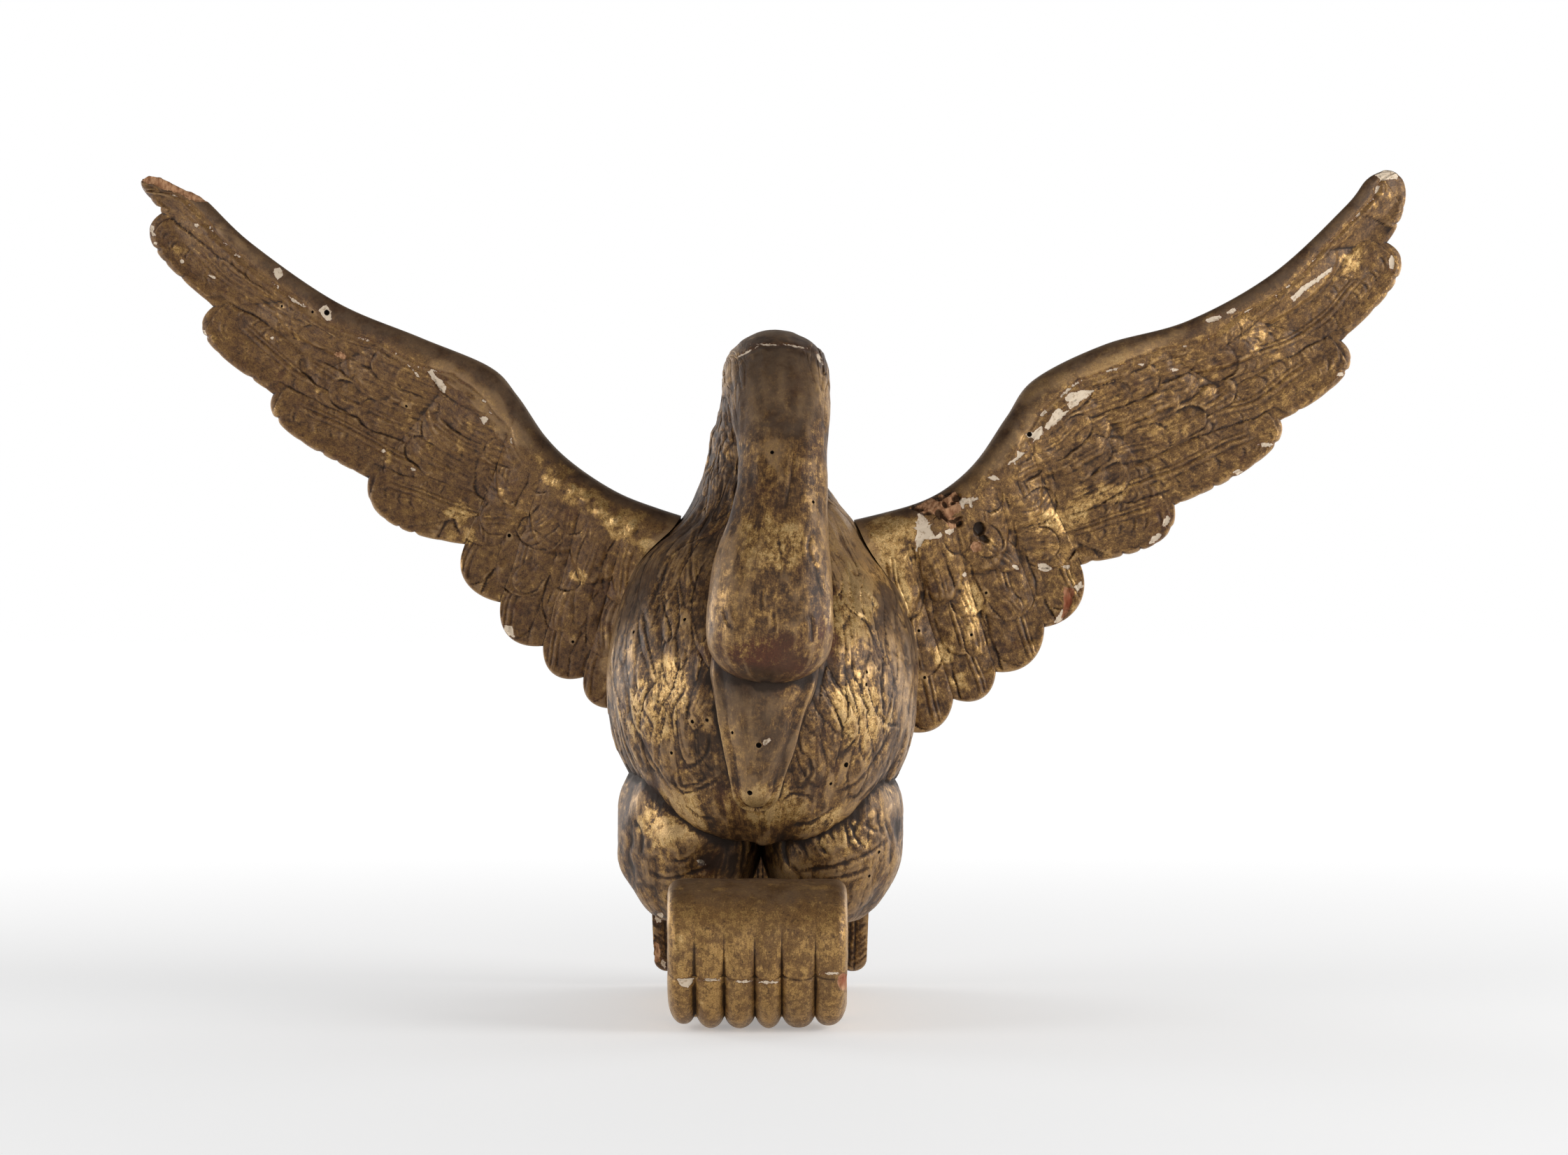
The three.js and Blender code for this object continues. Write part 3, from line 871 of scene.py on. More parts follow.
def neck_block(t, normals):
    """1 on the smooth front of the bent neck below its arch"""
    below_arch = ease(t, 0.55, 0.62)[:, None] * (1 - ease(t, 0.7, 0.78))[:, None]
    return below_arch * ease(-normals[..., 1], 0.2, 0.75)


RIM_ANGLE = math.radians(26)
RIM_SPREAD = math.radians(4)
RIM_HEIGHT = 1.3


def beak_relief(t, way, angle, rings):
    """A smooth bill, with a shallow hollow along the middle and a faint ridge beside it"""
    from_side = np.arcsin(np.clip(np.sin(angle), -1, 1))
    along_bill = ease(t, 0.1, 0.25)[:, None]
    rim = RIM_HEIGHT * bead(from_side - RIM_ANGLE, RIM_SPREAD) * along_bill
    within = ease(from_side, RIM_ANGLE + RIM_SPREAD, RIM_ANGLE + 4 * RIM_SPREAD)
    face = -RIM_HEIGHT * within * along_bill
    bulge = 0.35 * cloud(rings, 13, seed=21) + 0.12 * cloud(rings, 4, seed=22) + rim + face
    flow = stacked(16 * np.cos(angle), 16 * np.sin(angle), way[:, None] + 400)
    return bulge, flow


def thigh(side, rows):
    """A plump oval with rows of short tufts"""
    columns = int(rows * 1.6)
    tip = np.linspace(0, np.pi, rows + 2)[1:-1][:, None]
    turn = once_around(columns)[None, :]
    direction = stacked(np.sin(tip) * np.cos(turn), np.sin(tip) * np.sin(turn), np.cos(tip))
    middle = np.array([side * THIGH_MIDDLE[0], THIGH_MIDDLE[1], THIGH_MIDDLE[2]])
    rings = middle + direction * np.array(THIGH_HALVES)
    height, flow = thigh_relief(rings, turn * np.ones_like(tip), side)
    height = height + chiselled(seen_pixels(rings), THIGH_STROKES, *THIGH_STROKE) * (direction[..., 1] < 0)
    rings = rings + grid_normals(rings) * height[..., None]
    return skin("thigh", rings, {"flow": flow})


# Steps between the rows, tufts and lines of a thigh, and the radius they are laid out on
THIGH_RADIUS = 36
TUFT_ROW = 15
TUFT_WIDTH = 10.5
TUFT_LINES = 3.1


def thigh_relief(rings, turn, side):
    """Heights of the tufts, in rows that wander, and the flow lines that follow them"""
    across = turn * THIGH_RADIUS
    down = rings[..., 2]
    wander = 3.2 * cloud(rings, 14, seed=31 + side) + 1.3 * cloud(rings, 6, seed=33 + side)
    row = (down + 2.4 * wander) / TUFT_ROW
    tuft = across / TUFT_WIDTH + 0.5 * np.floor(row) + 0.12 * wander
    within = row - np.floor(row)
    belly = np.sqrt(np.clip(1 - (2 * (tuft - np.round(tuft))) ** 2 * 0.95, 0, 1))
    overlap = ease(within, 0, 0.16) * (1 - 0.55 * within)
    comb = groove(across / TUFT_LINES + wander * 0.35, 0.16)
    lumps = cloud(rings, (13, 13, 17), seed=35)
    height = 0.6 * (belly - 0.6) * overlap - 0.16 * comb * ease(within, 0.1, 0.4) + 1.5 * lumps
    bent = turn + wander * 0.06
    flow = stacked(THIGH_RADIUS * np.cos(bent), THIGH_RADIUS * np.sin(bent), down + 600)
    return height, flow


def tail_board(stations, places):
    """The fan of seven feathers behind the plinth, each with a shaft and slanting barbs"""
    across_share = np.linspace(-1, 1, stations)[:, None]
    within = (across_share + 1) / 2 * TAIL["feathers"]
    lobe = 2 * (within - np.floor(np.clip(within, 0, TAIL["feathers"] - 1e-6))) - 1
    low = dip(np.clip(lobe, -1, 1))

    def surface(down, face):
        length = TAIL["length"] + TAIL["feather_round"] * (1 - low)
        thickness = TAIL["half_thickness"] - TAIL["flute"] * low * down
        rim = quarter_round((1 - down) * length, 4) * quarter_round(down * length, 4)
        barbs = groove((down * length + 0.9 * np.abs(lobe) * 8) / 3.4, 0.17)
        shaft = bead(np.abs(lobe) * 7 - 1.2, 0.5)
        carved = -(0.32 * barbs + 0.5 * shaft) * ease(down, 0.08, 0.3) * rim
        x = across_share * along(TAIL["half_widths"], down)
        y = face * (thickness * rim + carved) - TAIL["bow"] * across_share**2 * down
        z = -down * length
        cos, sin = math.cos(TAIL["tilt"]), math.sin(TAIL["tilt"])
        turned = stacked(x + TAIL["middle_x"], y * cos - z * sin + TAIL["top_y"],
                         y * sin + z * cos + TAIL["top_z"])
        return turned, stacked(lobe * 7, 800, down * length)

    down = spaced_shares(places)[None, :]
    front, front_flow = surface(down, -1)
    back, back_flow = surface(down[:, -2:0:-1], 1)
    rings = np.concatenate([front, back], axis=1)
    flow = np.concatenate([front_flow, back_flow], axis=1)
    return skin("tail", rings, {"flow": flow})


# Carving of the wings


class CarvingSheet:
    """Heights and flow lines of a wing's face, drawn feather by feather over x outwards and z"""

    def __init__(self, low, high, step):
        self.low = np.array(low, float)
        self.step = step
        counts = np.ceil((np.array(high) - self.low) / step).astype(int) + 1
        self.height = np.zeros(counts, np.float32)
        self.flow = np.zeros((*counts, 3), np.float32)

    def window(self, low, high):
        first = np.maximum(((low - self.low) / self.step).astype(int), 0)
        last = np.minimum(((high - self.low) / self.step).astype(int) + 1, np.array(self.height.shape))
        box = (slice(first[0], last[0]), slice(first[1], last[1]))
        x = self.low[0] + self.step * np.arange(first[0], last[0])
        z = self.low[1] + self.step * np.arange(first[1], last[1])
        return box, np.stack(np.meshgrid(x, z, indexing="ij"), axis=-1)

    def read(self, x, z):
        place = [(x - self.low[0]) / self.step, (z - self.low[1]) / self.step]
        place = [np.clip(p, 0, n - 1.001) for p, n in zip(place, self.height.shape)]
        base = [p.astype(int) for p in place]
        share = [p - b for p, b in zip(place, base)]
        total = 0
        for i, j in np.ndindex(2, 2):
            weight = (share[0] if i else 1 - share[0]) * (share[1] if j else 1 - share[1])
            total = total + weight * self.height[base[0] + i, base[1] + j]
        near = [np.round(p).astype(int) for p in place]
        return total, self.flow[near[0], near[1]]


SPINE_POINTS = 26


def draw_feather(sheet, feather):
    """One feather over whatever lies below it: a bellied vane, a double shaft and curled barbs"""
    spine = spline(feather["spine"], np.linspace(0, 1, SPINE_POINTS))
    widest = max(feather["reach"])
    box, places = sheet.window(spine.min(axis=0) - widest * 1.2, spine.max(axis=0) + widest * 1.2)
    way, side, length = nearest_on(spine, places)
    share = np.clip(way / length, 0, 1)
    seed = feather["seed"]
    flat = stacked(places[..., 0], places[..., 1], 0.0)
    hand = cloud(flat, 6.0, seed)
    low, high, spread = feather["reach"]
    past_notch = ease(share, feather["notch_share"], feather["notch_share"] + 0.06)
    reach = np.where(side < 0, mixed(low, spread, past_notch), high)
    reach = reach * mixed(feather["root_share"], 1, ease(share, 0, 0.6)) + 0.8 * hand
    from_end = length - way
    end_round = np.minimum(reach, feather["end_round"])
    edge = reach * quarter_round(np.maximum(from_end, 0), end_round) - np.abs(side)
    across = np.clip(np.abs(side) / np.maximum(reach, 1), 0, 1)
    belly = feather["belly"] * (1 - across**2)
    lip = -feather["lip"] * (1 - ease(edge, 0, 2.2)) - 0.4 * bead(edge, 0.6)
    slow = cloud(flat, 17.0, seed + 4)
    off = side + 1.4 * slow
    shaft = shaft_section(off) * feather["shaft"]
    shaft = shaft * (1 - ease(share, 0.84, 0.93)) * ease(share, 0.03, 0.12)
    out = np.abs(off)
    curl_way = way + feather["curl"] * (out - 5.5) ** 2 * 0.09 + feather["lean"] * out + 1.6 * hand
    strength = np.clip(0.6 + 1.7 * cloud(stacked(way, side, seed), (9, 7, 1), seed + 1), 0, 1)
    window = ease(out, 2.4, 3.6) * (1 - ease(out, 7.5, 9.5)) * strength
    phase = curl_way / feather["pitch"] + 0.5 * (side > 0)
    barbs = 0.2 * bellied(phase) + 0.6 * groove(phase, 0.1) - 0.5 * groove(phase + 0.2, 0.1)
    barbs = barbs * window * feather["barb"]
    uneven = feather["uneven"] * (1.1 * cloud(flat, 6.5, seed + 2) + 0.4 * cloud(flat, 2.6, seed + 3))
    fine = -0.08 * groove(side / 2.3 + 0.8 * slow + 0.04 * way, 0.2)
    height = feather["layer"] + belly + lip + shaft + barbs + fine + uneven
    begun = ease(share + 0.14 * hand - 0.1 * across**2, 0, feather["root_fade"])
    blend = ((edge > 0) & (way > 0) & (from_end > 0)) * begun
    sheet.height[box] = mixed(sheet.height[box], height, blend)
    flow = stacked(side + 3 * hand, 9.0 * seed, way)
    sheet.flow[box] = np.where(blend[..., None] > 0.5, flow, sheet.flow[box])


def shaft_section(off):
    """Heights across a shaft: a round rib, a thinner one beside it and a cut on each side"""
    rib = 0.55 * bead(off + 1.0, 1.0)
    thin_rib = 0.36 * bead(off - 1.5, 0.6)
    cuts = 0.5 * bead(off - 0.55, 0.42) + 0.36 * bead(off - 2.5, 0.5)
    return rib + thin_rib - cuts - 0.42 * bead(off + 2.5, 0.5)


# Small scallops along the rear edge of the long feathers
SCALLOP_LENGTH = 9.5
SCALLOP_DEPTH = 1.5
BONE_POINTS = 3001
OUTER_FEATHERS = 5


class WingShape:
    """The outline of a wing: where each place along the bone has its front and its rear edge"""

    def __init__(self, data, steps):
        self.data = data
        lead = np.array([(x, 0, z) for x, z in data["lead"]], float)
        dense = spline(lead, np.linspace(0, 1, BONE_POINTS))
        run = np.concatenate([[0], np.cumsum(np.linalg.norm(np.diff(dense, axis=0), axis=1))])
        self.bone = dense[:, ::2]
        self.run = run / run[-1]
        start = np.array(data["lead"][-1], float)
        start_at = 1.0
        at = [np.array([1.0])]
        across = [np.array([0.0])]
        rear = [start[None]]
        self.ends = []
        for i, (x, z, notch_at, outer, inner) in enumerate(data["notches"]):
            end = np.array([x, z], float)
            width = end - start
            outwards = np.array([-width[1], width[0]])
            roundness = float(ease(i, *WING["round_feathers"]))
            lean = WING["feather_lean"]
            first = start + outwards * outer + width * lean * roundness
            second = end + outwards * inner - width * lean
            share = np.arange(1, steps + 1) / steps
            edge = bezier(start, first, second, end, share)
            if i < OUTER_FEATHERS:
                phase = share * np.linalg.norm(width) / SCALLOP_LENGTH + 0.3 * np.sin(9 * share + 2 * i)
                worn = SCALLOP_DEPTH * (0.6 + 0.4 * np.sin(17 * share + i))
                notched = worn * (1 - bellied(phase)) ** 2
                notched = notched * ease(share, 0.12, 0.25) * (1 - ease(share, 0.9, 1))
                edge = edge - unit(outwards) * notched[:, None]
            rear.append(edge)
            across.append(share)
            at.append(mixed(start_at, notch_at, share))
            self.ends.append({
                "start": start, "end": end, "tip": bezier(start, first, second, end, 0.5),
                "width": np.linalg.norm(width), "at": (start_at + notch_at) / 2, "out": unit(outwards),
                "way": unit(width),
            })
            start, start_at = end, notch_at
        self.at = np.concatenate(at)[::-1]
        self.across = np.concatenate(across)[::-1]
        self.rear = np.concatenate(rear)[::-1]
        self.front, self.tangent = self.on_bone(self.at)
        chord = self.rear - self.front
        self.depth = np.abs(chord[:, 0] * self.tangent[:, 1] - chord[:, 1] * self.tangent[:, 0])

    def on_bone(self, at):
        at = np.atleast_1d(at)
        point, later, earlier = (
            np.stack([np.interp(place, self.run, self.bone[:, i]) for i in (0, 1)], axis=-1)
            for place in (at, at + 1e-3, at - 1e-3))
        return point, unit(later - earlier)

    def place(self, at, share):
        """The point a share of the way from the bone to the rear edge"""
        order = np.argsort(self.at)
        rear = np.array([np.interp(at, self.at[order], self.rear[order, i]) for i in (0, 1)])
        return mixed(self.on_bone(at)[0][0], rear, share)


# Width of a long feather where it shows beside the next
BAND = 16.5
# Rows of an inner column: share of the depth at its root and at its end
INNER_ROWS = ((0.64, 1.0), (0.4, 0.77), (0.14, 0.5))
# Carving of a feather: heights of its parts, the pitch, curl and lean of its barbs, and how its root narrows
INNER_FEATHER = {"belly": 0.5, "barb": 0.3, "pitch": 8.0, "curl": 1.2, "lean": 0.5, "shaft": 1.15,
                 "root_share": 0.85, "root_fade": 0.1, "notch_share": 1.0, "uneven": 1.0}
OUTER_FEATHER = {"layer": 0.6, "belly": 0.4, "lip": 0.5, "barb": 1.0, "pitch": 7.2, "curl": 1.6, "lean": 0.25,
                 "shaft": 0.9, "root_share": 0.8, "root_fade": 0.35, "end_round": 9.0, "uneven": 0.5}
# Roots of the long feathers, along the bone and as shares of the depth
OUTER_ROOT = 0.385
OUTER_ROOT_STEP = 0.012
OUTER_ROOT_SHARES = (0.16, 0.27, 0.44, 0.62, 0.8)


def feather_list(shape, curve):
    """Inner columns of short overlapping feathers, then long feathers that run from the wrist to the tip"""
    feathers = []
    for i, end in enumerate(shape.ends[OUTER_FEATHERS:]):
        for row, (root_share, end_share) in enumerate(INNER_ROWS):
            tip = end["tip"] + end["out"] * 1.5 if row == 0 else shape.place(end["at"], end_share)
            root = shape.place(end["at"] + 0.01, root_share)
            way = unit(tip - root)
            bowed = (root + tip) / 2 + np.array([way[1], -way[0]]) * curve
            half = max(end["width"], 16) * (0.53, 0.5, 0.46)[row]
            feathers.append({**INNER_FEATHER, "spine": (root, bowed, tip), "reach": (half, half, half),
                             "end_round": half * 1.05, "seed": 60 + 5 * i + row,
                             "layer": 0.2 * row, "lip": 0.6 if row == 0 else 0.4})
    for i in reversed(range(OUTER_FEATHERS)):
        end = shape.ends[i]
        root = shape.place(OUTER_ROOT - OUTER_ROOT_STEP * i, OUTER_ROOT_SHARES[i])
        passing = end["end"] - end["out"] * BAND * (0.8 if i == 0 else 1.0)
        tip = end["start"] + end["way"] * 3 - end["out"] * 2.5
        if i == 0:
            passing = shape.place(0.66, 0.2)
        spine = (root, (root + passing) / 2 + end["out"] * -1.5, passing, tip)
        dense = spline(spine, np.linspace(0, 1, SPINE_POINTS))
        way, _, length = nearest_on(dense, end["end"][None])
        feathers.append({**OUTER_FEATHER, "spine": spine, "reach": (BAND / 2, BAND * 0.62, 30.0),
                         "notch_share": float(way[0] / length) if i else 0.9, "seed": 40 + i})
    return feathers + covert_list(shape)


# Short feathers over the roots of the long ones: places along the bone, and shares of the depth
COVERT_ROWS = (0.52, 0.36, 0.2, 0.06)
COVERT_PLACES = (0.47, 0.42, 0.37, 0.32, 0.27, 0.22, 0.17)
COVERT = {"layer": 0.3, "belly": 0.5, "lip": 0.25, "barb": 0.3, "pitch": 6.0, "curl": 1.2, "lean": 0.6,
          "shaft": 0.7, "root_share": 0.7, "root_fade": 0.45, "notch_share": 1.0, "uneven": 1.0}


def covert_list(shape):
    """Small feathers in the crook of the wing, which turn from hanging down to pointing outwards"""
    chance = np.random.default_rng(seed=11)
    coverts = []
    for row, share in enumerate(COVERT_ROWS):
        for at in COVERT_PLACES:
            own_at = at + chance.uniform(-0.015, 0.015) + 0.025 * (row % 2)
            outwards = float(ease(own_at, 0.16, 0.36))
            root = shape.place(own_at, share + chance.uniform(-0.03, 0.03))
            tip = shape.place(own_at + 0.11 * outwards, share + mixed(0.3, 0.1, outwards))
            bowed = (root + tip) / 2 + chance.uniform(-3, 3, 2)
            half = chance.uniform(6.0, 8.5)
            coverts.append({**COVERT, "spine": (root, bowed, tip), "reach": (half, half, half),
                            "end_round": half * chance.uniform(1.2, 2.2), "seed": 120 + len(coverts)})
    return coverts


# Round knuckles below the bone at the right wing's root, in the camera's frame: x, y, half length, half
# width and slope in degrees
KNUCKLES = (
    (800, 688, 15, 10, -54), (819, 702, 15, 10, -54), (838, 716, 16, 11, -54), (859, 731, 16, 11, -56),
    (881, 745, 16, 11, -60), (903, 757, 16, 10, -64),
)
KNUCKLE_HEIGHT = 1.3
KNUCKLE_SLOPE = 3.2
# The groove beside the bone and the ridge beyond it: height, place as a share of the bone, and width
BONE_GROOVE = (0.6, 0.98, 0.8)
BONE_RIDGE = (0.5, 1.3, 1.2)


def wing_face(shape, shares, face, sheet):
    """Points of a wing's front (-1) or back (1): a row for each station, a column for each share"""
    at = shape.at[:, None]
    across = shape.across[:, None]
    depth = shape.depth[:, None]
    share = np.broadcast_to(shares, (len(shape.at), shares.shape[-1]))
    bulge = 4 * share * (1 - share)
    scalloped = share + bulge * WING["covert_scallop"] * np.sin(np.pi * across)
    flat = shape.front[:, None] + (shape.rear - shape.front)[:, None] * scalloped[..., None]
    x, z = flat[..., 0], flat[..., 1]
    outwards = np.maximum(0, (x - WING["sweep_from"]) / WING["sweep_span"])
    bone = along(WING["bone_half"], at)
    turned = share * along(WING["rear_tilt"], at) + bulge * along(WING["cup"], at)
    middle = WING["root_y"] + WING["sweep_back"] * outwards ** WING["sweep_power"]
    middle = middle + turned * np.minimum(1, depth / bone)
    behind = share * depth
    panel = mixed(along(WING["panel_half"], at), WING["edge_half"], share)
    rounded = quarter_round(behind, bone)
    thin = ease(behind, bone, WING["bone_fade"] * bone)
    coverts = WING["covert_height"] * thin * (1 - ease(share, *WING["covert_step"]))
    flute = WING["flute"] * dip(2 * across - 1) * ease(share, *WING["flute_span"])
    half = rounded * (mixed(bone, panel, thin) + coverts - flute)
    from_edge = (1 - share) * depth
    half = half * quarter_round(from_edge, 2.4)
    height, flow = sheet.read(x, z)
    open_wood = ease(behind, 1.0 * bone, 1.5 * bone) * ease(from_edge, 0.2, 2.2)
    ridge, groove_beside = (
        high * bead(behind - place * bone, width) for high, place, width in (BONE_RIDGE, BONE_GROOVE))
    band = ridge - groove_beside
    height = height * open_wood * shape.data["relief"] + band * ease(at, 0.26, 0.36) * rounded
    points = stacked(shape.data["side"] * x, middle + face * half, z)
    knuckles = ease(-oval_distance(seen_pixels(points), KNUCKLES), 0, KNUCKLE_SLOPE)
    height = height + KNUCKLE_HEIGHT * knuckles * (face < 0)
    # Along the bone: a darker cap on its top, which is dust and painted shade of the dim light from above,
    # and a pale strip below it, which is painted sheen and, where it flakes, worn gesso
    past_wrist = ease(at, 0.24, 0.34)
    dust_and_shade_cap = 1 - ease(behind, mixed(0.15, 0.4, past_wrist) * bone, mixed(0.5, 0.95, past_wrist) * bone)
    wear_and_sheen_strip = bead(behind - 1.04 * bone, 0.5 + 0.05 * bone) * past_wrist
    return points, height, flow, dust_and_shade_cap - wear_and_sheen_strip


# The sheets that a wing's carving is drawn on
SHEET_LOW = (0, 110)
SHEET_HIGH = (325, 415)
FRONT_SHEET_STEP = 0.4
BACK_SHEET_STEP = 0.6
CHORD_EVENNESS = 0.75


def carve_wing(name, data, body_room):
    """One wing as a curved board with carved faces, cut back to clear the body"""
    carving = bpy.context.scene.swan_carving
    shape = WingShape(data, carving.feather_steps)
    front_sheet = CarvingSheet(SHEET_LOW, SHEET_HIGH, FRONT_SHEET_STEP)
    back_sheet = CarvingSheet(SHEET_LOW, SHEET_HIGH, BACK_SHEET_STEP)
    feathers = feather_list(shape, data["curve"])
    for feather in feathers:
        draw_feather(front_sheet, feather)
        draw_feather(back_sheet, {**feather, "barb": 0.0, "lip": 0.3})
    front_shares = spaced_shares(carving.chord_steps, CHORD_EVENNESS)[None, :]
    back_shares = spaced_shares(carving.chord_steps // 3, CHORD_EVENNESS)[None, ::-1][:, 1:-1]
    faces = [wing_face(shape, front_shares, -1, front_sheet), wing_face(shape, back_shares, 1, back_sheet)]
    rings, height, flow, bone = (np.concatenate(pair, axis=1)[:-1] for pair in zip(*faces))
    normals = grid_normals(rings)
    facing = ease(np.abs(normals[..., 1]), 0.25, 0.7)
    rings = rings + normals * (height * facing)[..., None]
    tip = np.array([data["side"] * shape.front[-1, 0], faces[0][0][-1, 0, 1], shape.front[-1, 1]])
    wing = skin(name, rings, {"flow": flow, "bone": bone}, tip)
    joined(wing, [body_room], "DIFFERENCE", keep_tools=True)
    heal_seams(wing.data, ["flow", "bone"])
    return wing


# The plinth


def lobe_edges():
    middle = SCROLL["middle"][0]
    half = SCROLL["half_width"]
    return np.array([-half, *(g - middle for g in SCROLL["grooves"]), half])


def scroll_roll(columns, rows):
    """The rolled front, a ring of points around it for each place across"""
    edges = lobe_edges()
    half = SCROLL["half_width"]
    x = half * np.sin(np.linspace(-np.pi / 2, np.pi / 2, rows + 2)[1:-1])
    x = mixed(x, np.linspace(-half, half, rows + 2)[1:-1], 0.8)[:, None]
    angle = once_around(columns)[None, :]
    lobe = np.clip(np.searchsorted(edges, x), 1, len(edges) - 1)
    middle = (edges[lobe] + edges[lobe - 1]) / 2
    reach = (edges[lobe] - edges[lobe - 1]) / 2
    flute = dip(np.clip((x - middle) / reach, -1, 1))
    ahead, up = np.sin(angle), np.cos(angle)
    power = SCROLL["squareness"]
    square = (np.abs(ahead) ** power + np.abs(up) ** power) ** (-1 / power)
    radius = SCROLL["edge_radius"]
    into_edge = np.clip((np.abs(x) - (half - radius)) / radius, 0, 1)
    edge_cut = radius * (1 - np.sqrt(1 - into_edge**2))
    begun = ease(angle, SCROLL["groove_start"], SCROLL["groove_full"])
    grooving = begun - ease(angle, SCROLL["groove_fade"], SCROLL["groove_end"])
    risen = SCROLL["end_rise"] * ease(np.abs(x), SCROLL["end_rise_from"], half)
    cut = edge_cut + grooving * (SCROLL["groove_deeper"] * SCROLL["groove_depth"] * flute + risen)
    y = SCROLL["middle"][1] - (SCROLL["half_depth"] * square - cut) * ahead
    z = SCROLL["middle"][2] + (SCROLL["half_height"] * square - cut) * up
    rings = stacked(SCROLL["middle"][0] + x, y, z)
    uneven = 0.5 * cloud(rings, (14, 20, 20), seed=41) + 0.16 * cloud(rings, 4.5, seed=42)
    wander = CRACK["wander"] * cloud(rings * np.array([1, 0, 0]), CRACK["lump"], seed=43)
    crack_z = CRACK["height"] - CRACK["sag_on_lobes"] * (1 - flute) + wander
    on_front = ease(ahead, 0.2, 0.5)
    crack = bead(z - crack_z, CRACK["width"]) * on_front * ease(half - np.abs(x), 0, CRACK["end_fade"])
    height = uneven - CRACK["depth"] * crack
    rings = rings + grid_normals(rings) * height[..., None]
    flow = stacked(x, 30 * np.sin(angle), 30 * np.cos(angle) + 900)
    return skin("scroll", rings, {"flow": flow})


def platform_block():
    """The platform behind the roll, with softened edges and a hollow under its front"""
    p = PLATFORM
    bevel = p["bevel"]
    corners = [
        (p["front_y"], p["hollow_height"]),
        (p["hollow_y"] - p["hollow_height"] / 2, p["hollow_height"]),
        (p["hollow_y"], 0),
        (p["rear_y"] + bevel, 0),
    ]
    arc = np.linspace(0, np.pi / 2, 14)
    radius = p["rear_radius"]
    turn_y = p["rear_y"] - radius
    turn_z = p["height"] - radius
    corners += [(turn_y + (radius + bevel) * math.cos(a), turn_z + radius * math.sin(a)) for a in arc]
    corners += [(p["front_y"], p["height"])]
    outline = np.array(corners, float)
    steps = []
    for start, end in zip(outline, np.roll(outline, -1, axis=0)):
        count = max(1, int(np.linalg.norm(end - start) / 2.5))
        steps += [mixed(start, end, k / count) for k in range(count)]
    outline = np.array(steps)
    middle = np.array([0.0, 22.0])
    half = p["width"] / 2
    x = np.linspace(-half, half, 40)
    into_bevel = np.clip((np.abs(x) - (half - bevel)) / bevel, 0, 1)
    inset = bevel * (1 - np.sqrt(np.clip(1 - into_bevel**2, 0, 1)))
    inward = unit(middle - outline)
    rings = []
    for place, draw_in in zip(x, inset):
        ring = outline + inward * draw_in
        rings.append(np.column_stack([np.full(len(ring), SCROLL["middle"][0] + place), ring]))
    rings = np.array(rings)
    under = rings[..., 2] < 0.3
    uneven = 0.35 * cloud(rings, (16, 16, 9), seed=45) * ~under
    rings = rings + grid_normals(rings) * np.minimum(uneven, 0.2)[..., None]
    rings[..., 2] = np.maximum(rings[..., 2], 0)
    flow = rings * np.array([1.0, 0.3, 1.0]) + np.array([0, 0, 1100])
    return skin("platform", rings, {"flow": flow})


def carve_plinth(name):
    """The roll, cut open behind, with the platform joined to it"""
    carving = bpy.context.scene.swan_carving
    roll = scroll_roll(carving.roll_columns, carving.roll_rows)
    behind = block((-SEAT_HALF_WIDTH, SCROLL["back_y"], PLATFORM["height"]), (SEAT_HALF_WIDTH, 0, ABOVE_ROLL))
    joined(roll, [behind], "DIFFERENCE")
    joined(roll, [platform_block()])
    heal_seams(roll.data, ["flow"])
    roll.name = name
    return roll


# The body


# How far the front of the breast hangs down over the thighs, and where that starts
SAG = 16
SAG_FRONT = (18, 44)
SAG_HEIGHT = (108, 150)


def hanging_breast(rings):
    forward = ease(-rings[..., 1], *SAG_FRONT)
    low = 1 - ease(rings[..., 2], *SAG_HEIGHT)
    hung = rings.copy()
    hung[..., 2] -= SAG * forward * low
    return hung


def neck_aim(t):
    """Finer columns on the side that shows: the breast, then the back of the bent neck"""
    return mixed(0.5, -0.5, ease(t, 0.42, 0.62))


BEAK_COLUMNS = 180
THIGH_ROWS = 130
TAIL_POINTS = (240, 110)


def carve_body(name):
    """Trunk, bill, thighs and tail joined as one, and cut to sit on the plinth"""
    carving = bpy.context.scene.swan_carving
    trunk = tube(name, TRUNK, carving.body_step / MM, carving.body_columns, trunk_relief, neck_aim,
                 hanging_breast)
    beak = tube("beak", BEAK, carving.body_step / MM, BEAK_COLUMNS, beak_relief)
    thighs = [thigh(side, THIGH_ROWS) for side in (-1, 1)]
    joined(trunk, [beak, *thighs, tail_board(*TAIL_POINTS)])
    seat = block((-SEAT_HALF_WIDTH, SEAT_FRONT, SEAT_BOTTOM), (SEAT_HALF_WIDTH, SEAT_REAR, SEAT_TOP))
    joined(trunk, [seat], "DIFFERENCE")
    heal_seams(trunk.data, ["flow"])
    return trunk


def wing_room():
    """The space that the body takes from a wing, with its gap"""
    t, _ = even_rows(TRUNK, 3.0)
    rings = swept(TRUNK, t, once_around(160)[None, :], JOINT_GAP + ROOM_FOR_LOCKS)
    return skin("room", rings, {})


# Materials


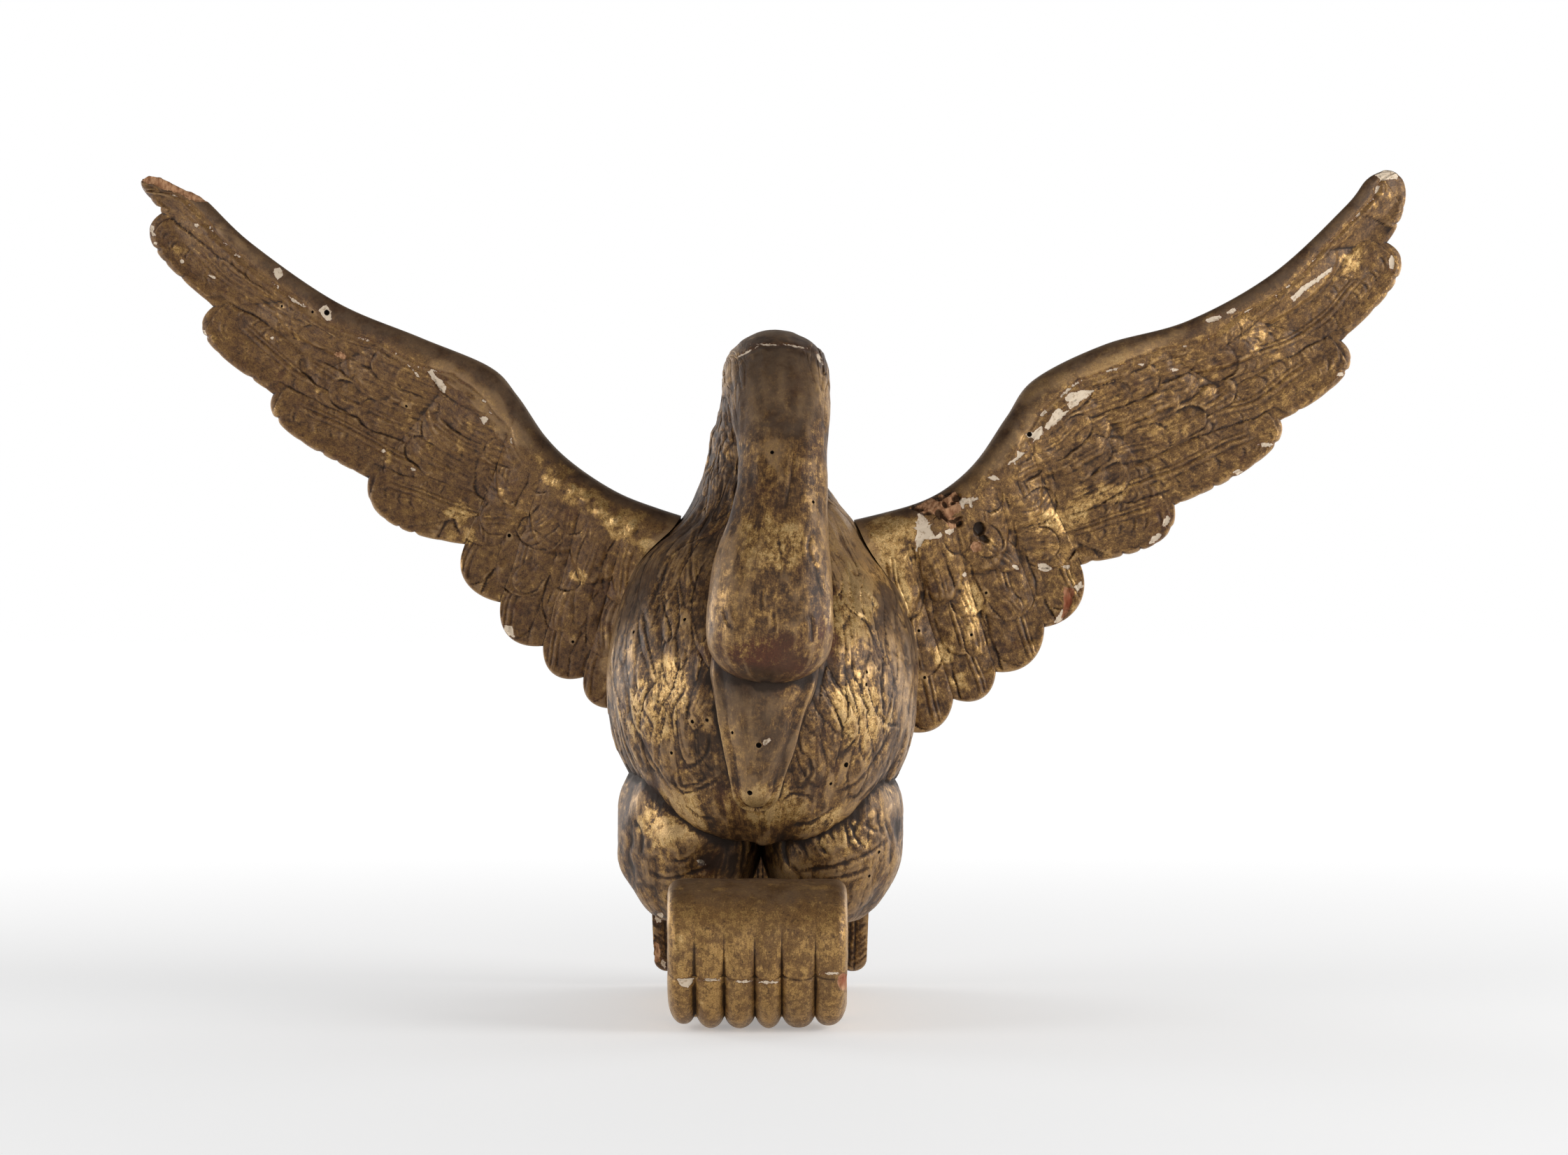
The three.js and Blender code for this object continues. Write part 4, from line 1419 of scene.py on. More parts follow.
class Graph:
    """Adds nodes to a tree, each linked to or given its values"""

    def __init__(self, tree):
        self.tree = tree

    def add(self, kind, values=None, **settings):
        node = self.tree.nodes.new(kind)
        for name, value in settings.items():
            setattr(node, name, value)
        return self.fill(node, values or {})

    def fill(self, node, values):
        for socket, value in values.items():
            self.give(node.inputs[socket], value)
        return node

    def give(self, socket, value):
        if isinstance(value, bpy.types.NodeSocket):
            self.tree.links.new(value, socket)
        else:
            socket.default_value = value

    def attribute(self, name, output="Fac"):
        return self.add("ShaderNodeAttribute", attribute_name=name).outputs[output]

    def math(self, operation, first, second=0.0, clamp=False):
        values = {0: first, 1: second}
        return self.add("ShaderNodeMath", values, operation=operation, use_clamp=clamp).outputs[0]

    def total(self, *terms):
        """The sum of (value, weight) pairs"""
        result = 0.0
        for value, weight in terms:
            node = self.add("ShaderNodeMath", {0: value, 1: weight, 2: result}, operation="MULTIPLY_ADD")
            result = node.outputs[0]
        return result

    def steps(self, value, low, high):
        """0 below low, 1 above high and smooth between"""
        node = self.add("ShaderNodeMapRange", {"Value": value, "From Min": low, "From Max": high},
                        interpolation_type="SMOOTHSTEP")
        return node.outputs["Result"]

    def blend(self, share, first, second):
        return self.add("ShaderNodeMix", {0: share, 6: first, 7: second}, data_type="RGBA").outputs[2]

    def tinted(self, tone, other, mask, weight):
        """The tone, turned towards another by a share of the mask"""
        return self.blend(self.math("MULTIPLY", mask, weight), tone, other)

    def stretched(self, vector, scale):
        return self.add("ShaderNodeVectorMath", {0: vector, 1: scale}, operation="MULTIPLY").outputs[0]

    def noise(self, vector, scale, detail=2.0, roughness=0.55):
        return self.add("ShaderNodeTexNoise", {"Vector": vector, "Scale": scale, "Detail": detail,
                                               "Roughness": roughness}).outputs["Fac"]


def group(name, inputs, outputs, build):
    """A shared node group: inputs and outputs are (name, socket type, default) and build wires them"""
    tree = bpy.data.node_groups.new(name, "ShaderNodeTree")
    for socket, kind, default in inputs:
        made = tree.interface.new_socket(socket, in_out="INPUT", socket_type=kind)
        if default is not None:
            made.default_value = default
    for socket, kind in outputs:
        tree.interface.new_socket(socket, in_out="OUTPUT", socket_type=kind)
    graph = Graph(tree)
    entry = graph.add("NodeGroupInput")
    results = build(graph, entry.outputs)
    leave = graph.add("NodeGroupOutput")
    for (socket, _), value in zip(outputs, results):
        graph.give(leave.inputs[socket], value)
    return tree


def new_finish(name):
    """A material, its graph and its shader"""
    material = bpy.data.materials.new(name)
    material.use_nodes = True
    return material, Graph(material.node_tree), material.node_tree.nodes["Principled BSDF"]


FLOAT = "NodeSocketFloat"
VECTOR = "NodeSocketVector"
FLOW_STRETCH = (1.0, 1.0, 0.22)
WOOD_STRETCH = (1.0, 1.0, 0.3)
# Scales of the noises in the finish, in lumps a metre
MOTTLE_SCALE = 45.0
CLOUD_SCALE = 120.0
DIRT_SCALE = 260.0
FLECK_SCALE = 300.0
GESSO_SCALE = 520.0
CHIP_SCALE = 560.0
SPOT_SCALE = 620.0
GRAIN_SCALE = 700.0
GRIT_SCALE = 1700.0
# How far the edge of a chip wanders, in millimetres, and the middle of that way
CHIP_WANDER = 2.4
CHIP_OFFSET = -1.2


def brush_lines(graph, entry):
    """Fine lines along the flow of the carving, and longer, broader ones"""
    along_flow = graph.stretched(entry["Flow"], FLOW_STRETCH)
    fine = graph.noise(along_flow, 1.3, 4.0, 0.65)
    broad = graph.noise(along_flow, 0.42, 2.0)
    return fine, broad


def leaf_wear(graph, entry):
    """How much gold is left, mottled and drawn out along the carving, and dark spots in it"""
    place = entry["Place"]
    mottle = graph.noise(place, MOTTLE_SCALE, 3.0, 0.6)
    flecks = graph.noise(place, FLECK_SCALE, 7.0, 0.8)
    total = graph.total((mottle, 1.5), (flecks, 4.4), (entry["Lines"], 1.6), (entry["Height"], 0.5),
                        (entry["Dust"], -0.45), (1.0, -3.75))
    spots = graph.steps(graph.noise(place, SPOT_SCALE, 2.0), 0.62, 0.7)
    return total, spots


def grime(graph, entry):
    """Dark dirt left in hollows, and the painted shade that the hollow value also carries, with a ragged edge
    """
    ragged = graph.noise(entry["Place"], DIRT_SCALE, 3.0)
    total = graph.total((entry["Hollow"], 1.0), (ragged, 0.9))
    return (graph.steps(total, 0.55, 1.25),)


def chips(graph, entry):
    """A ragged chip where the signed distance is below 0, and the rim of ground around it"""
    ragged = graph.noise(entry["Place"], CHIP_SCALE, 4.0, 0.65)
    distance = graph.total((ragged, CHIP_WANDER), (entry["Distance"], 1.0), (1.0, CHIP_OFFSET))
    inside = graph.steps(distance, 0.05, -0.05)
    rim = graph.steps(distance, 0.45, 0.05)
    return inside, rim


GROUPS = {
    "brush lines": ([("Flow", VECTOR, None)], [("Fine", FLOAT), ("Broad", FLOAT)], brush_lines),
    "leaf wear": (
        [("Place", VECTOR, None), ("Lines", FLOAT, 0.5), ("Height", FLOAT, 0.0), ("Dust", FLOAT, 0.0)],
        [("Leaf", FLOAT), ("Spots", FLOAT)], leaf_wear),
    "grime": ([("Place", VECTOR, None), ("Hollow", FLOAT, 0.0)], [("Grime", FLOAT)], grime),
    "chips": ([("Place", VECTOR, None), ("Distance", FLOAT, 3.0)], [("Chip", FLOAT), ("Rim", FLOAT)], chips),
}


def use_group(graph, name, values):
    tree = bpy.data.node_groups.get(name) or group(name, *GROUPS[name])
    return graph.add("ShaderNodeGroup", values, node_tree=tree).outputs


# The gilding of each piece: its name, leaf left, contrast, coat, and ground where thin and where bare
GILDINGS = {
    "carved_body": ("body gilding", -0.06, 1.0, 0.07, BRONZE, UMBER),
    "carved_right_wing": ("browned wing gilding", 0.1, 0.55, 0.05, BROWN, DARK_BROWN),
    "carved_left_wing": ("wing gilding", 0.2, 0.75, 0.05, BRONZE, DARK_BROWN),
    "fluted_plinth": ("plinth gilding", 0.46, 0.5, 0.08, BRONZE, UMBER),
}
BUMP_HEIGHT = 0.35


def aged_gilding(name, leaf_gain, contrast, coat, ground, shade):
    """Worn gold leaf over a brown ground and pale gesso on wood, with painted shade and painted sheen carried
    by its attributes
    """
    carving = bpy.context.scene.swan_carving
    material, graph, shader = new_finish(name)
    place = graph.add("ShaderNodeTexCoord").outputs["Object"]
    lines = use_group(graph, "brush lines", {"Flow": graph.attribute("flow", "Vector")})
    # The hollow value is the cavity of the carving, raised by painted shade and lowered by painted sheen
    hollow = graph.attribute("hollow")
    dust = graph.attribute("dust")
    rub = graph.attribute("rub")
    reddened = graph.attribute("bole")
    # The leaf is thicker on ridges and in the painted sheen, and thinner in hollows and in the painted shade
    leaf = use_group(graph, "leaf wear", {
        "Place": place, "Lines": lines["Fine"], "Height": graph.math("MULTIPLY", hollow, -1.0), "Dust": dust})
    dirt_and_shade = use_group(graph, "grime", {"Place": place, "Hollow": hollow})["Grime"]
    chip = use_group(graph, "chips", {"Place": place, "Distance": graph.attribute("chip")})
    wood = use_group(graph, "chips", {"Place": place, "Distance": graph.attribute("wood")})

    # Gold, from the bare ground up to the brightest leaf
    strength = graph.total((rub, 0.7), (1.0, contrast))
    left = graph.total((leaf["Leaf"], strength), (rub, 0.75), (reddened, -0.2), (1.0, leaf_gain))
    tone = graph.blend(graph.steps(left, -0.4, 0.0), shade, ground)
    tone = graph.tinted(tone, carving.bole, reddened, 0.85)
    tone = graph.blend(graph.steps(left, -0.05, 0.3), tone, carving.dull_gold)
    shine = graph.steps(left, 0.35, 0.65)
    tone = graph.blend(shine, tone, carving.gold)
    tone = graph.blend(graph.steps(left, 0.85, 1.35), tone, carving.bright_gold)

    # Spots, grit, worn heights with painted sheen, and dust with painted shade on upward faces over it
    tone = graph.tinted(tone, shade, leaf["Spots"], 0.6)
    grit = graph.noise(place, GRIT_SCALE, 2.0, 0.7)
    tone = graph.blend(graph.steps(grit, 0.66, 0.34), tone, graph.blend(0.45, tone, SOOT_AND_SHADE))
    # The pale tone of worn ridges, and painted sheen where the hollow value is lowered by the sheen places
    # and the wing bone's strip
    worn = graph.steps(graph.total((hollow, -1.0), (lines["Broad"], 0.5), (reddened, -0.5)), 0.5, 1.1)
    tone = graph.tinted(tone, WORN_AND_SHEEN, worn, 0.45)
    cloudy = graph.noise(place, CLOUD_SCALE, 4.0, 0.6)
    grey = graph.blend(graph.steps(cloudy, 0.3, 0.6), UMBER, carving.dust)
    tone = graph.tinted(tone, grey, dust, 0.8)

    # Chips down to the gesso, bare wood, and dirt with painted shade over all
    tone = graph.tinted(tone, carving.bole, chip["Rim"], 0.6)
    specks = graph.steps(graph.noise(place, GESSO_SCALE, 4.0, 0.65), 0.52, 0.68)
    gesso = graph.tinted(carving.gesso, DIRTY_GESSO, specks, 0.8)
    tone = graph.blend(chip["Chip"], tone, gesso)
    grain = graph.noise(graph.stretched(place, WOOD_STRETCH), GRAIN_SCALE, 3.0)
    bare_wood = graph.blend(graph.steps(grain, 0.35, 0.65), DARK_WOOD, carving.bare_wood)
    bare_wood = graph.blend(reddened, bare_wood, RED_WOOD)
    tone = graph.blend(wood["Chip"], tone, bare_wood)
    tone = graph.tinted(tone, SOOT_AND_SHADE, dirt_and_shade, 0.72)

    bare = graph.math("MAXIMUM", chip["Chip"], wood["Chip"])
    covered = graph.math("MAXIMUM", bare, graph.math("MULTIPLY", dust, 0.9))
    clean = graph.math("SUBTRACT", 1.0, covered, clamp=True)
    metal = graph.math("MULTIPLY", clean, graph.total((shine, 0.45), (1.0, 0.1)))
    rough = graph.total((shine, -0.12), (bare, 0.4), (dirt_and_shade, 0.16), (dust, 0.2), (lines["Fine"], 0.12),
                        (1.0, 0.42))
    height = graph.total((lines["Fine"], 0.5), (lines["Broad"], 0.5), (leaf["Spots"], -0.25), (bare, -1.0))
    bump = graph.add("ShaderNodeBump", {"Height": height, "Strength": 0.6, "Distance": BUMP_HEIGHT * MM})
    graph.fill(shader, {
        "Base Color": tone, "Metallic": metal, "Roughness": rough, "Normal": bump.outputs["Normal"],
        "Specular IOR Level": 0.25, "Coat Weight": coat, "Coat Roughness": 0.26})
    return material


def worm_hole():
    """The dark inside of a beetle's hole: painted shade, near black and far darker than bare wood"""
    material, graph, shader = new_finish("worm hole")
    graph.fill(shader, {"Base Color": HOLE_SHADE, "Roughness": 0.9})
    return material


def pale_floor():
    """A pale sheet that runs back into the white behind"""
    material, graph, shader = new_finish("pale floor")
    place = graph.add("ShaderNodeTexCoord").outputs["Object"]
    back = graph.add("ShaderNodeSeparateXYZ", {0: place}).outputs["Y"]
    fade = graph.steps(back, -0.05, 1.1)
    graph.fill(shader, {
        "Base Color": graph.blend(fade, (0.86, 0.86, 0.85, 1), (0, 0, 0, 1)),
        "Emission Color": graph.blend(fade, (0.3, 0.3, 0.3, 1), (1, 1, 1, 1)),
        "Emission Strength": 1.0, "Roughness": 0.8, "Specular IOR Level": 0.1})
    return material


# Wear


# Outlines of the larger chips that show white gesso, in the camera's frame
CHIP_OUTLINES = (
    ((1313, 735), (1317, 734), (1324, 741), (1328, 750), (1333, 760), (1338, 767), (1346, 761), (1349, 767),
     (1340, 771), (1330, 771), (1322, 771), (1318, 778), (1313, 784), (1312, 789), (1309, 789), (1311, 781),
     (1308, 774), (1311, 765), (1311, 748)),
    ((1371, 715), (1377, 711), (1385, 713), (1397, 711), (1400, 714), (1389, 717), (1391, 726), (1387, 727),
     (1385, 720), (1379, 722), (1377, 729), (1373, 722)),
    ((1351, 759), (1357, 757), (1364, 755), (1364, 760), (1358, 765), (1353, 763)),
    ((1441, 665), (1444, 660), (1455, 653), (1454, 643), (1459, 646), (1466, 648), (1460, 654), (1450, 661)),
    ((1466, 621), (1471, 626), (1480, 627), (1475, 634), (1484, 629), (1492, 618), (1490, 609), (1484, 612),
     (1476, 620)),
    ((1412, 682), (1424, 680), (1429, 686), (1419, 687)),
    ((1507, 890), (1519, 871), (1524, 876), (1518, 894)),
    ((1535, 840), (1546, 832), (1549, 838), (1541, 847)),
    ((1484, 806), (1496, 806), (1506, 814), (1496, 819), (1485, 814)),
    ((1517, 810), (1531, 807), (1527, 815)),
    ((1389, 782), (1400, 774), (1403, 784), (1392, 790)),
    ((686, 598), (694, 594), (698, 600), (692, 607)),
    ((719, 893), (732, 896), (736, 911), (724, 909)),
    ((611, 531), (618, 530), (623, 538), (633, 545), (638, 555), (636, 562), (629, 558), (623, 548),
     (618, 542)),
    ((390, 387), (394, 382), (401, 383), (403, 390), (407, 387), (403, 395), (397, 400), (392, 396)),
    ((457, 440), (467, 436), (473, 445), (474, 458), (468, 459), (462, 453), (456, 445)),
    ((413, 424), (420, 427), (428, 433), (435, 439), (431, 438), (423, 433), (416, 429)),
    ((583, 522), (588, 526), (595, 533), (600, 540), (595, 538), (590, 530)),
    ((289, 471), (293, 473), (298, 485), (294, 483)), ((218, 346), (225, 347), (223, 351)),
    ((216, 322), (221, 323), (219, 332), (223, 337), (217, 337), (214, 330)),
    ((967, 1400), (993, 1399), (984, 1413), (974, 1410)),
    ((1523, 569), (1530, 561), (1540, 560), (1550, 558), (1564, 559), (1560, 565), (1550, 571), (1540, 579),
     (1530, 585), (1526, 578), (1529, 575), (1524, 574)),
    ((1505, 592), (1510, 586), (1516, 584), (1520, 589), (1529, 587), (1522, 594), (1510, 606), (1499, 615),
     (1494, 612), (1496, 606), (1502, 600)),
    ((1846, 426), (1862, 410), (1884, 396), (1905, 382), (1906, 387), (1880, 406), (1862, 420), (1850, 432)),
    ((1962, 247), (1984, 242), (2003, 248), (1998, 256), (1976, 258)),
)
# Small chips: x, y, half length, half width, slope in degrees
CHIPS = (
    (281, 323, 3, 3, 60), (260, 374, 3, 3, 20), (303, 396, 5, 2, 20),
    (388, 484, 3, 2, 0), (590, 671, 4, 2, 30), (548, 645, 4, 2, 0), (1990, 376, 4, 10, 0),
    (1735, 456, 12, 4, -20), (1762, 445, 7, 3, -20), (1680, 529, 5, 2, 0), (1632, 521, 4, 2, 0),
    (1917, 535, 5, 3, 0), (1810, 636, 9, 3, 0), (1771, 676, 6, 4, 0), (1668, 745, 4, 9, 20),
    (1652, 770, 10, 4, -40), (1453, 811, 5, 3, 30),
    (942, 1313, 8, 5, -60), (949, 1379, 3, 7, -20),
    (1379, 822, 3, 3, 0), (1096, 1061, 7, 3, -30), (1003, 1233, 6, 3, 30), (1016, 1402, 10, 2, 0),
    (1065, 1404, 9, 2, 0), (1100, 1405, 11, 2, 0), (1190, 1392, 12, 1.5, 0),
    (1172, 513, 8, 2.5, 62), (1066, 505, 12, 1.2, -28), (1100, 493, 14, 1.2, 2), (1136, 495, 12, 1.2, 12),
)
# Bare wood, in the same terms
BARE_OUTLINES = (
    ((1298, 727), (1312, 723), (1332, 712), (1339, 710), (1355, 703), (1367, 704), (1371, 714), (1375, 730),
     (1360, 740), (1375, 741), (1372, 752), (1360, 757), (1352, 747), (1345, 741), (1337, 735), (1325, 735),
     (1312, 731)),
    ((1521, 840), (1537, 842), (1533, 861), (1527, 876), (1517, 890), (1521, 866)),
    ((196, 256), (200, 244), (216, 244), (235, 252), (258, 263), (285, 276), (300, 288), (284, 289),
     (272, 286), (262, 280), (252, 276), (242, 273), (232, 271), (220, 264), (208, 262)),
)
BARE_PATCHES = (
    (938, 1362, 6, 14, 0), (487, 508, 9, 4, 20), (1206, 1404, 8, 12, 0), (1396, 782, 8, 8, 0),
)
# Worm holes: x, y and diameter in millimetres
WORM_HOLES = (
    (1104, 647, 2.0), (1163, 718, 1.7), (1007, 728, 2.0), (1033, 766, 1.7), (979, 886, 1.8),
    (906, 904, 1.8), (1239, 961, 1.8), (1239, 979, 1.9), (990, 1032, 2.0), (1011, 1030, 1.7),
    (1047, 1048, 1.7), (960, 1077, 1.8), (1085, 1066, 2.8), (1210, 1094, 2.6), (1188, 1121, 1.8),
    (1072, 1134, 2.7), (1314, 902, 1.7), (447, 446, 1.5), (581, 581, 1.6), (403, 438, 1.4),
    (728, 766, 2.0), (819, 918, 1.6), (1389, 908, 1.6), (1322, 969, 1.6), (1410, 848, 1.6),
    (1257, 1219, 1.9), (1243, 1253, 1.7), (467, 447, 2.6), (1472, 621, 2.4),
)
# Burnished places: x, y, half length, half width, slope in degrees
RUBBED = (
    (800, 688, 15, 9, -54), (819, 702, 14, 8, -54), (838, 716, 14, 9, -54), (859, 731, 15, 9, -56),
    (881, 745, 15, 9, -60), (903, 757, 15, 9, -64), (850, 722, 74, 15, 38), (1284, 770, 40, 36, -20),
    (1290, 835, 10, 40, 0), (1264, 806, 12, 30, 0), (1935, 372, 18, 10, -40), (960, 1170, 45, 40, 0),
    (1200, 1190, 50, 30, 0), (1100, 780, 45, 40, 0), (940, 1000, 40, 60, 20), (1230, 1020, 40, 60, -20),
    (1100, 1150, 60, 30, 0), (1540, 728, 70, 18, -24), (1374, 970, 9, 24, 10), (1350, 930, 8, 20, 10),
    (1388, 864, 12, 20, 0), (1220, 870, 30, 60, 20), (508, 714, 16, 10, 40), (560, 800, 14, 6, 10),
    (665, 735, 16, 7, 10), (660, 766, 14, 5, 0), (828, 825, 8, 6, 0),
)
# Painted sheen, pale and greyish, on the breast's edges, the neck, the shoulder and along the wing bones,
# where it is partly pale wear, in the same terms
SHEEN_AND_WEAR = (
    (650, 535, 34, 11, 26), (712, 590, 70, 17, 47), (345, 350, 40, 6, 45), (1430, 645, 80, 13, -46),
    (1600, 512, 140, 8, -22), (1215, 790, 34, 80, -16), (870, 930, 9, 60, 8), (1290, 960, 10, 60, -6),
    (1040, 530, 10, 34, 20), (1178, 560, 8, 34, -12),
)
# Painted shade on the bill under the head and on the left thigh under the breast, together with the darker
# tone of the bill, the lower head and the left breast, in the same terms
SHADE_AND_DARKER_TONE = (
    (1090, 1060, 34, 96, 0), (1110, 950, 76, 32, 0), (950, 1245, 60, 60, 0), (900, 870, 30, 60, 20),
)
# Places worn to the reddish ground, in the same terms
REDDENED = (
    (1095, 935, 80, 30, 0), (1070, 1145, 26, 12, 0), (1190, 900, 20, 40, 0),
    (1526, 864, 16, 32, 20), (1206, 1404, 10, 14, 0),
)
# Places under grey dust, in the same terms
DUSTED = (
    (1112, 565, 72, 78, 0), (905, 800, 40, 130, 15), (1290, 850, 40, 130, -15), (1240, 780, 40, 80, -30),
    (1090, 1050, 40, 90, 0), (1065, 1000, 60, 40, 0),
)
# Painted shade in the crevices between the thighs and under the lower edges of the breast and head, in the
# same terms
CREVICE_SHADE = (
    (1083, 1222, 14, 40, 0), (1035, 1215, 34, 34, 0), (1085, 1180, 110, 8, 0), (938, 1142, 12, 9, 0),
    (1120, 1215, 26, 24, 0), (1100, 972, 70, 7, 0), (1030, 1225, 20, 24, 0),
)
# Deep holes in the crumbled wood, in the same terms, and their depth in millimetres
CAVITIES = (
    (1343, 735, 8, 6, 50), (1353, 743, 7, 2.4, 38), (1363, 747, 6, 2.4, 15), (1370, 743, 6, 2.4, -30),
    (1367, 711, 7, 7, 0), (1354, 706, 7, 3, -30), (1341, 712, 5, 3, 0), (1350, 720, 5, 3, 55),
    (1363, 719, 5, 3, 0), (1311, 727, 8, 3.5, 10), (1326, 734, 8, 2.6, -5), (1401, 757, 8, 10, 0),
    (1408, 771, 8, 5, 20), (1372, 750, 6, 3, -45),
)
CAVITY_DEPTH = 2.6
# Painted shade in the grooves between the lobes of the plinth, in the same terms
FLUTE_SHADE = (
    (991, 1428, 3, 40, 0), (1037, 1420, 5, 48, 0), (1080, 1422, 5, 48, 0), (1119, 1420, 5, 48, 0),
    (1167, 1416, 5, 52, 0),
)
# The edge of each kind of place: how far it wanders, the size and seed of its lumps, and where it starts
# and is full, in millimetres inside the mark
SOFT_EDGES = {
    "cavities": (0.5, 2.2, 59, -0.4, 0.6),
    "crevice_shade": (4, 9, 55, -4, 5),
    "fluted": (1.5, 4, 58, -1.5, 1.5),
    "shade_and_darker_tone": (4, 9, 60, -5, 6),
    "pale": (2.5, 6, 61, -2.5, 3),
    "reddened": (5, 9, 53, -3, 6),
    "dusted": (6, 12, 54, -5, 9),
}
# Distances that stand for far outside and deep inside every mark
FAR = 4.0
DEEP = -9.0
OUTLINE_MARGIN = 14
# Points are added this near to the edge of a chip, where edges are longer than this
EDGE_REACH = 1.2
EDGE_LENGTH = 0.45
EDGE_ROUNDS = 2
SHARP_ANGLE = math.radians(58)
HOLLOW_ROUNDS = 8
HOLLOW_GAIN = 2.6
CHIP_DEPTH = 0.35
WOOD_DEPTH = 0.5
# Worm holes: how far the drill starts above the wood and goes into it, and its width at the bottom
HOLE_SIDES = 14
HOLE_RISE = 1.5
HOLE_DEPTH = 3.4
HOLE_TAPER = 0.8


def oval_distance(pixels, marks):
    """Signed distance in millimetres from the nearest of some slanted ovals, seen from the camera"""
    nearest = np.full(pixels.shape[:-1], FAR)
    for x, y, half_length, half_width, slope in marks:
        turn = math.radians(slope)
        off = pixels - (x, y)
        long_way = off[..., 0] * math.cos(turn) + off[..., 1] * math.sin(turn)
        short_way = off[..., 1] * math.cos(turn) - off[..., 0] * math.sin(turn)
        scaled = np.hypot(long_way / half_length, short_way / half_width)
        nearest = np.minimum(nearest, (scaled - 1) * min(half_length, half_width) / PIXELS_A_MM)
    return nearest


def outline_distance(pixels, outlines):
    """Signed distance in millimetres from the nearest of some closed outlines, seen from the camera"""
    nearest = np.full(len(pixels), FAR)
    for outline in outlines:
        corners = np.array([*outline, outline[0]], float)
        low, high = corners.min(axis=0) - OUTLINE_MARGIN, corners.max(axis=0) + OUTLINE_MARGIN
        near = np.nonzero(np.all((pixels > low) & (pixels < high), axis=1))[0]
        places = pixels[near]
        inside = np.zeros(len(near), bool)
        for start, end in zip(corners[:-1], corners[1:]):
            spans = (start[1] > places[:, 1]) != (end[1] > places[:, 1])
            rise = end[1] - start[1] if end[1] != start[1] else 1.0
            crossing = start[0] + (places[:, 1] - start[1]) * (end[0] - start[0]) / rise
            inside ^= spans & (places[:, 0] < crossing)
        distance = nearest_off(corners, places) / PIXELS_A_MM
        nearest[near] = np.minimum(nearest[near], np.where(inside, -distance, distance))
    return nearest


def mark_distance(pixels, ovals, outlines):
    return np.minimum(oval_distance(pixels, ovals), outline_distance(pixels, outlines))


def soft_places(points, pixels, marks, kind):
    """1 inside the marks and 0 outside, with the soft and wandering edge of their kind"""
    wander, lump, seed, start, full = SOFT_EDGES[kind]
    return ease(-oval_distance(pixels, marks) + wander * cloud(points, lump, seed), start, full)


def refined(thing):
    """More points where chips and breaks begin, so that their edges are crisp"""
    for _ in range(EDGE_ROUNDS):
        mesh = thing.data
        points = points_of(mesh)
        pixels = seen_pixels(points)
        near = np.minimum(np.abs(mark_distance(pixels, CHIPS, CHIP_OUTLINES)),
                          np.abs(mark_distance(pixels, BARE_PATCHES, BARE_OUTLINES)))
        near = np.minimum(near, np.abs(oval_distance(pixels, CAVITIES)))
        close = (near < EDGE_REACH) & (np.sum(normals_of(mesh) * (CAMERA_PLACE - points), axis=1) > 0)
        edges = edges_of(mesh)
        length = np.linalg.norm(points[edges[:, 0]] - points[edges[:, 1]], axis=1)
        picked = np.nonzero((close[edges[:, 0]] | close[edges[:, 1]]) & (length > EDGE_LENGTH))[0]
        if len(picked) == 0:
            return
        work = bmesh.new()
        work.from_mesh(mesh)
        work.edges.ensure_lookup_table()
        bmesh.ops.subdivide_edges(work, edges=[work.edges[i] for i in picked], cuts=1)
        bmesh.ops.triangulate(work, faces=[face for face in work.faces if len(face.verts) > 4])
        work.to_mesh(mesh)
        work.free()


def hollows(mesh, rounds):
    """How far each point lies in a hollow, in millimetres: below 0 on a ridge"""
    edges = edges_of(mesh)
    points = points_of(mesh).astype(float)
    smooth = points.copy()
    count = np.bincount(edges.ravel(), minlength=len(points))[:, None]
    first, second = edges.T
    for _ in range(rounds):
        total = np.stack([
            np.bincount(first, smooth[second, i], len(points))
            + np.bincount(second, smooth[first, i], len(points)) for i in range(3)], axis=1)
        smooth = 0.5 * smooth + 0.5 * total / np.maximum(count, 1)
    return np.sum((smooth - points) * normals_of(mesh), axis=1)


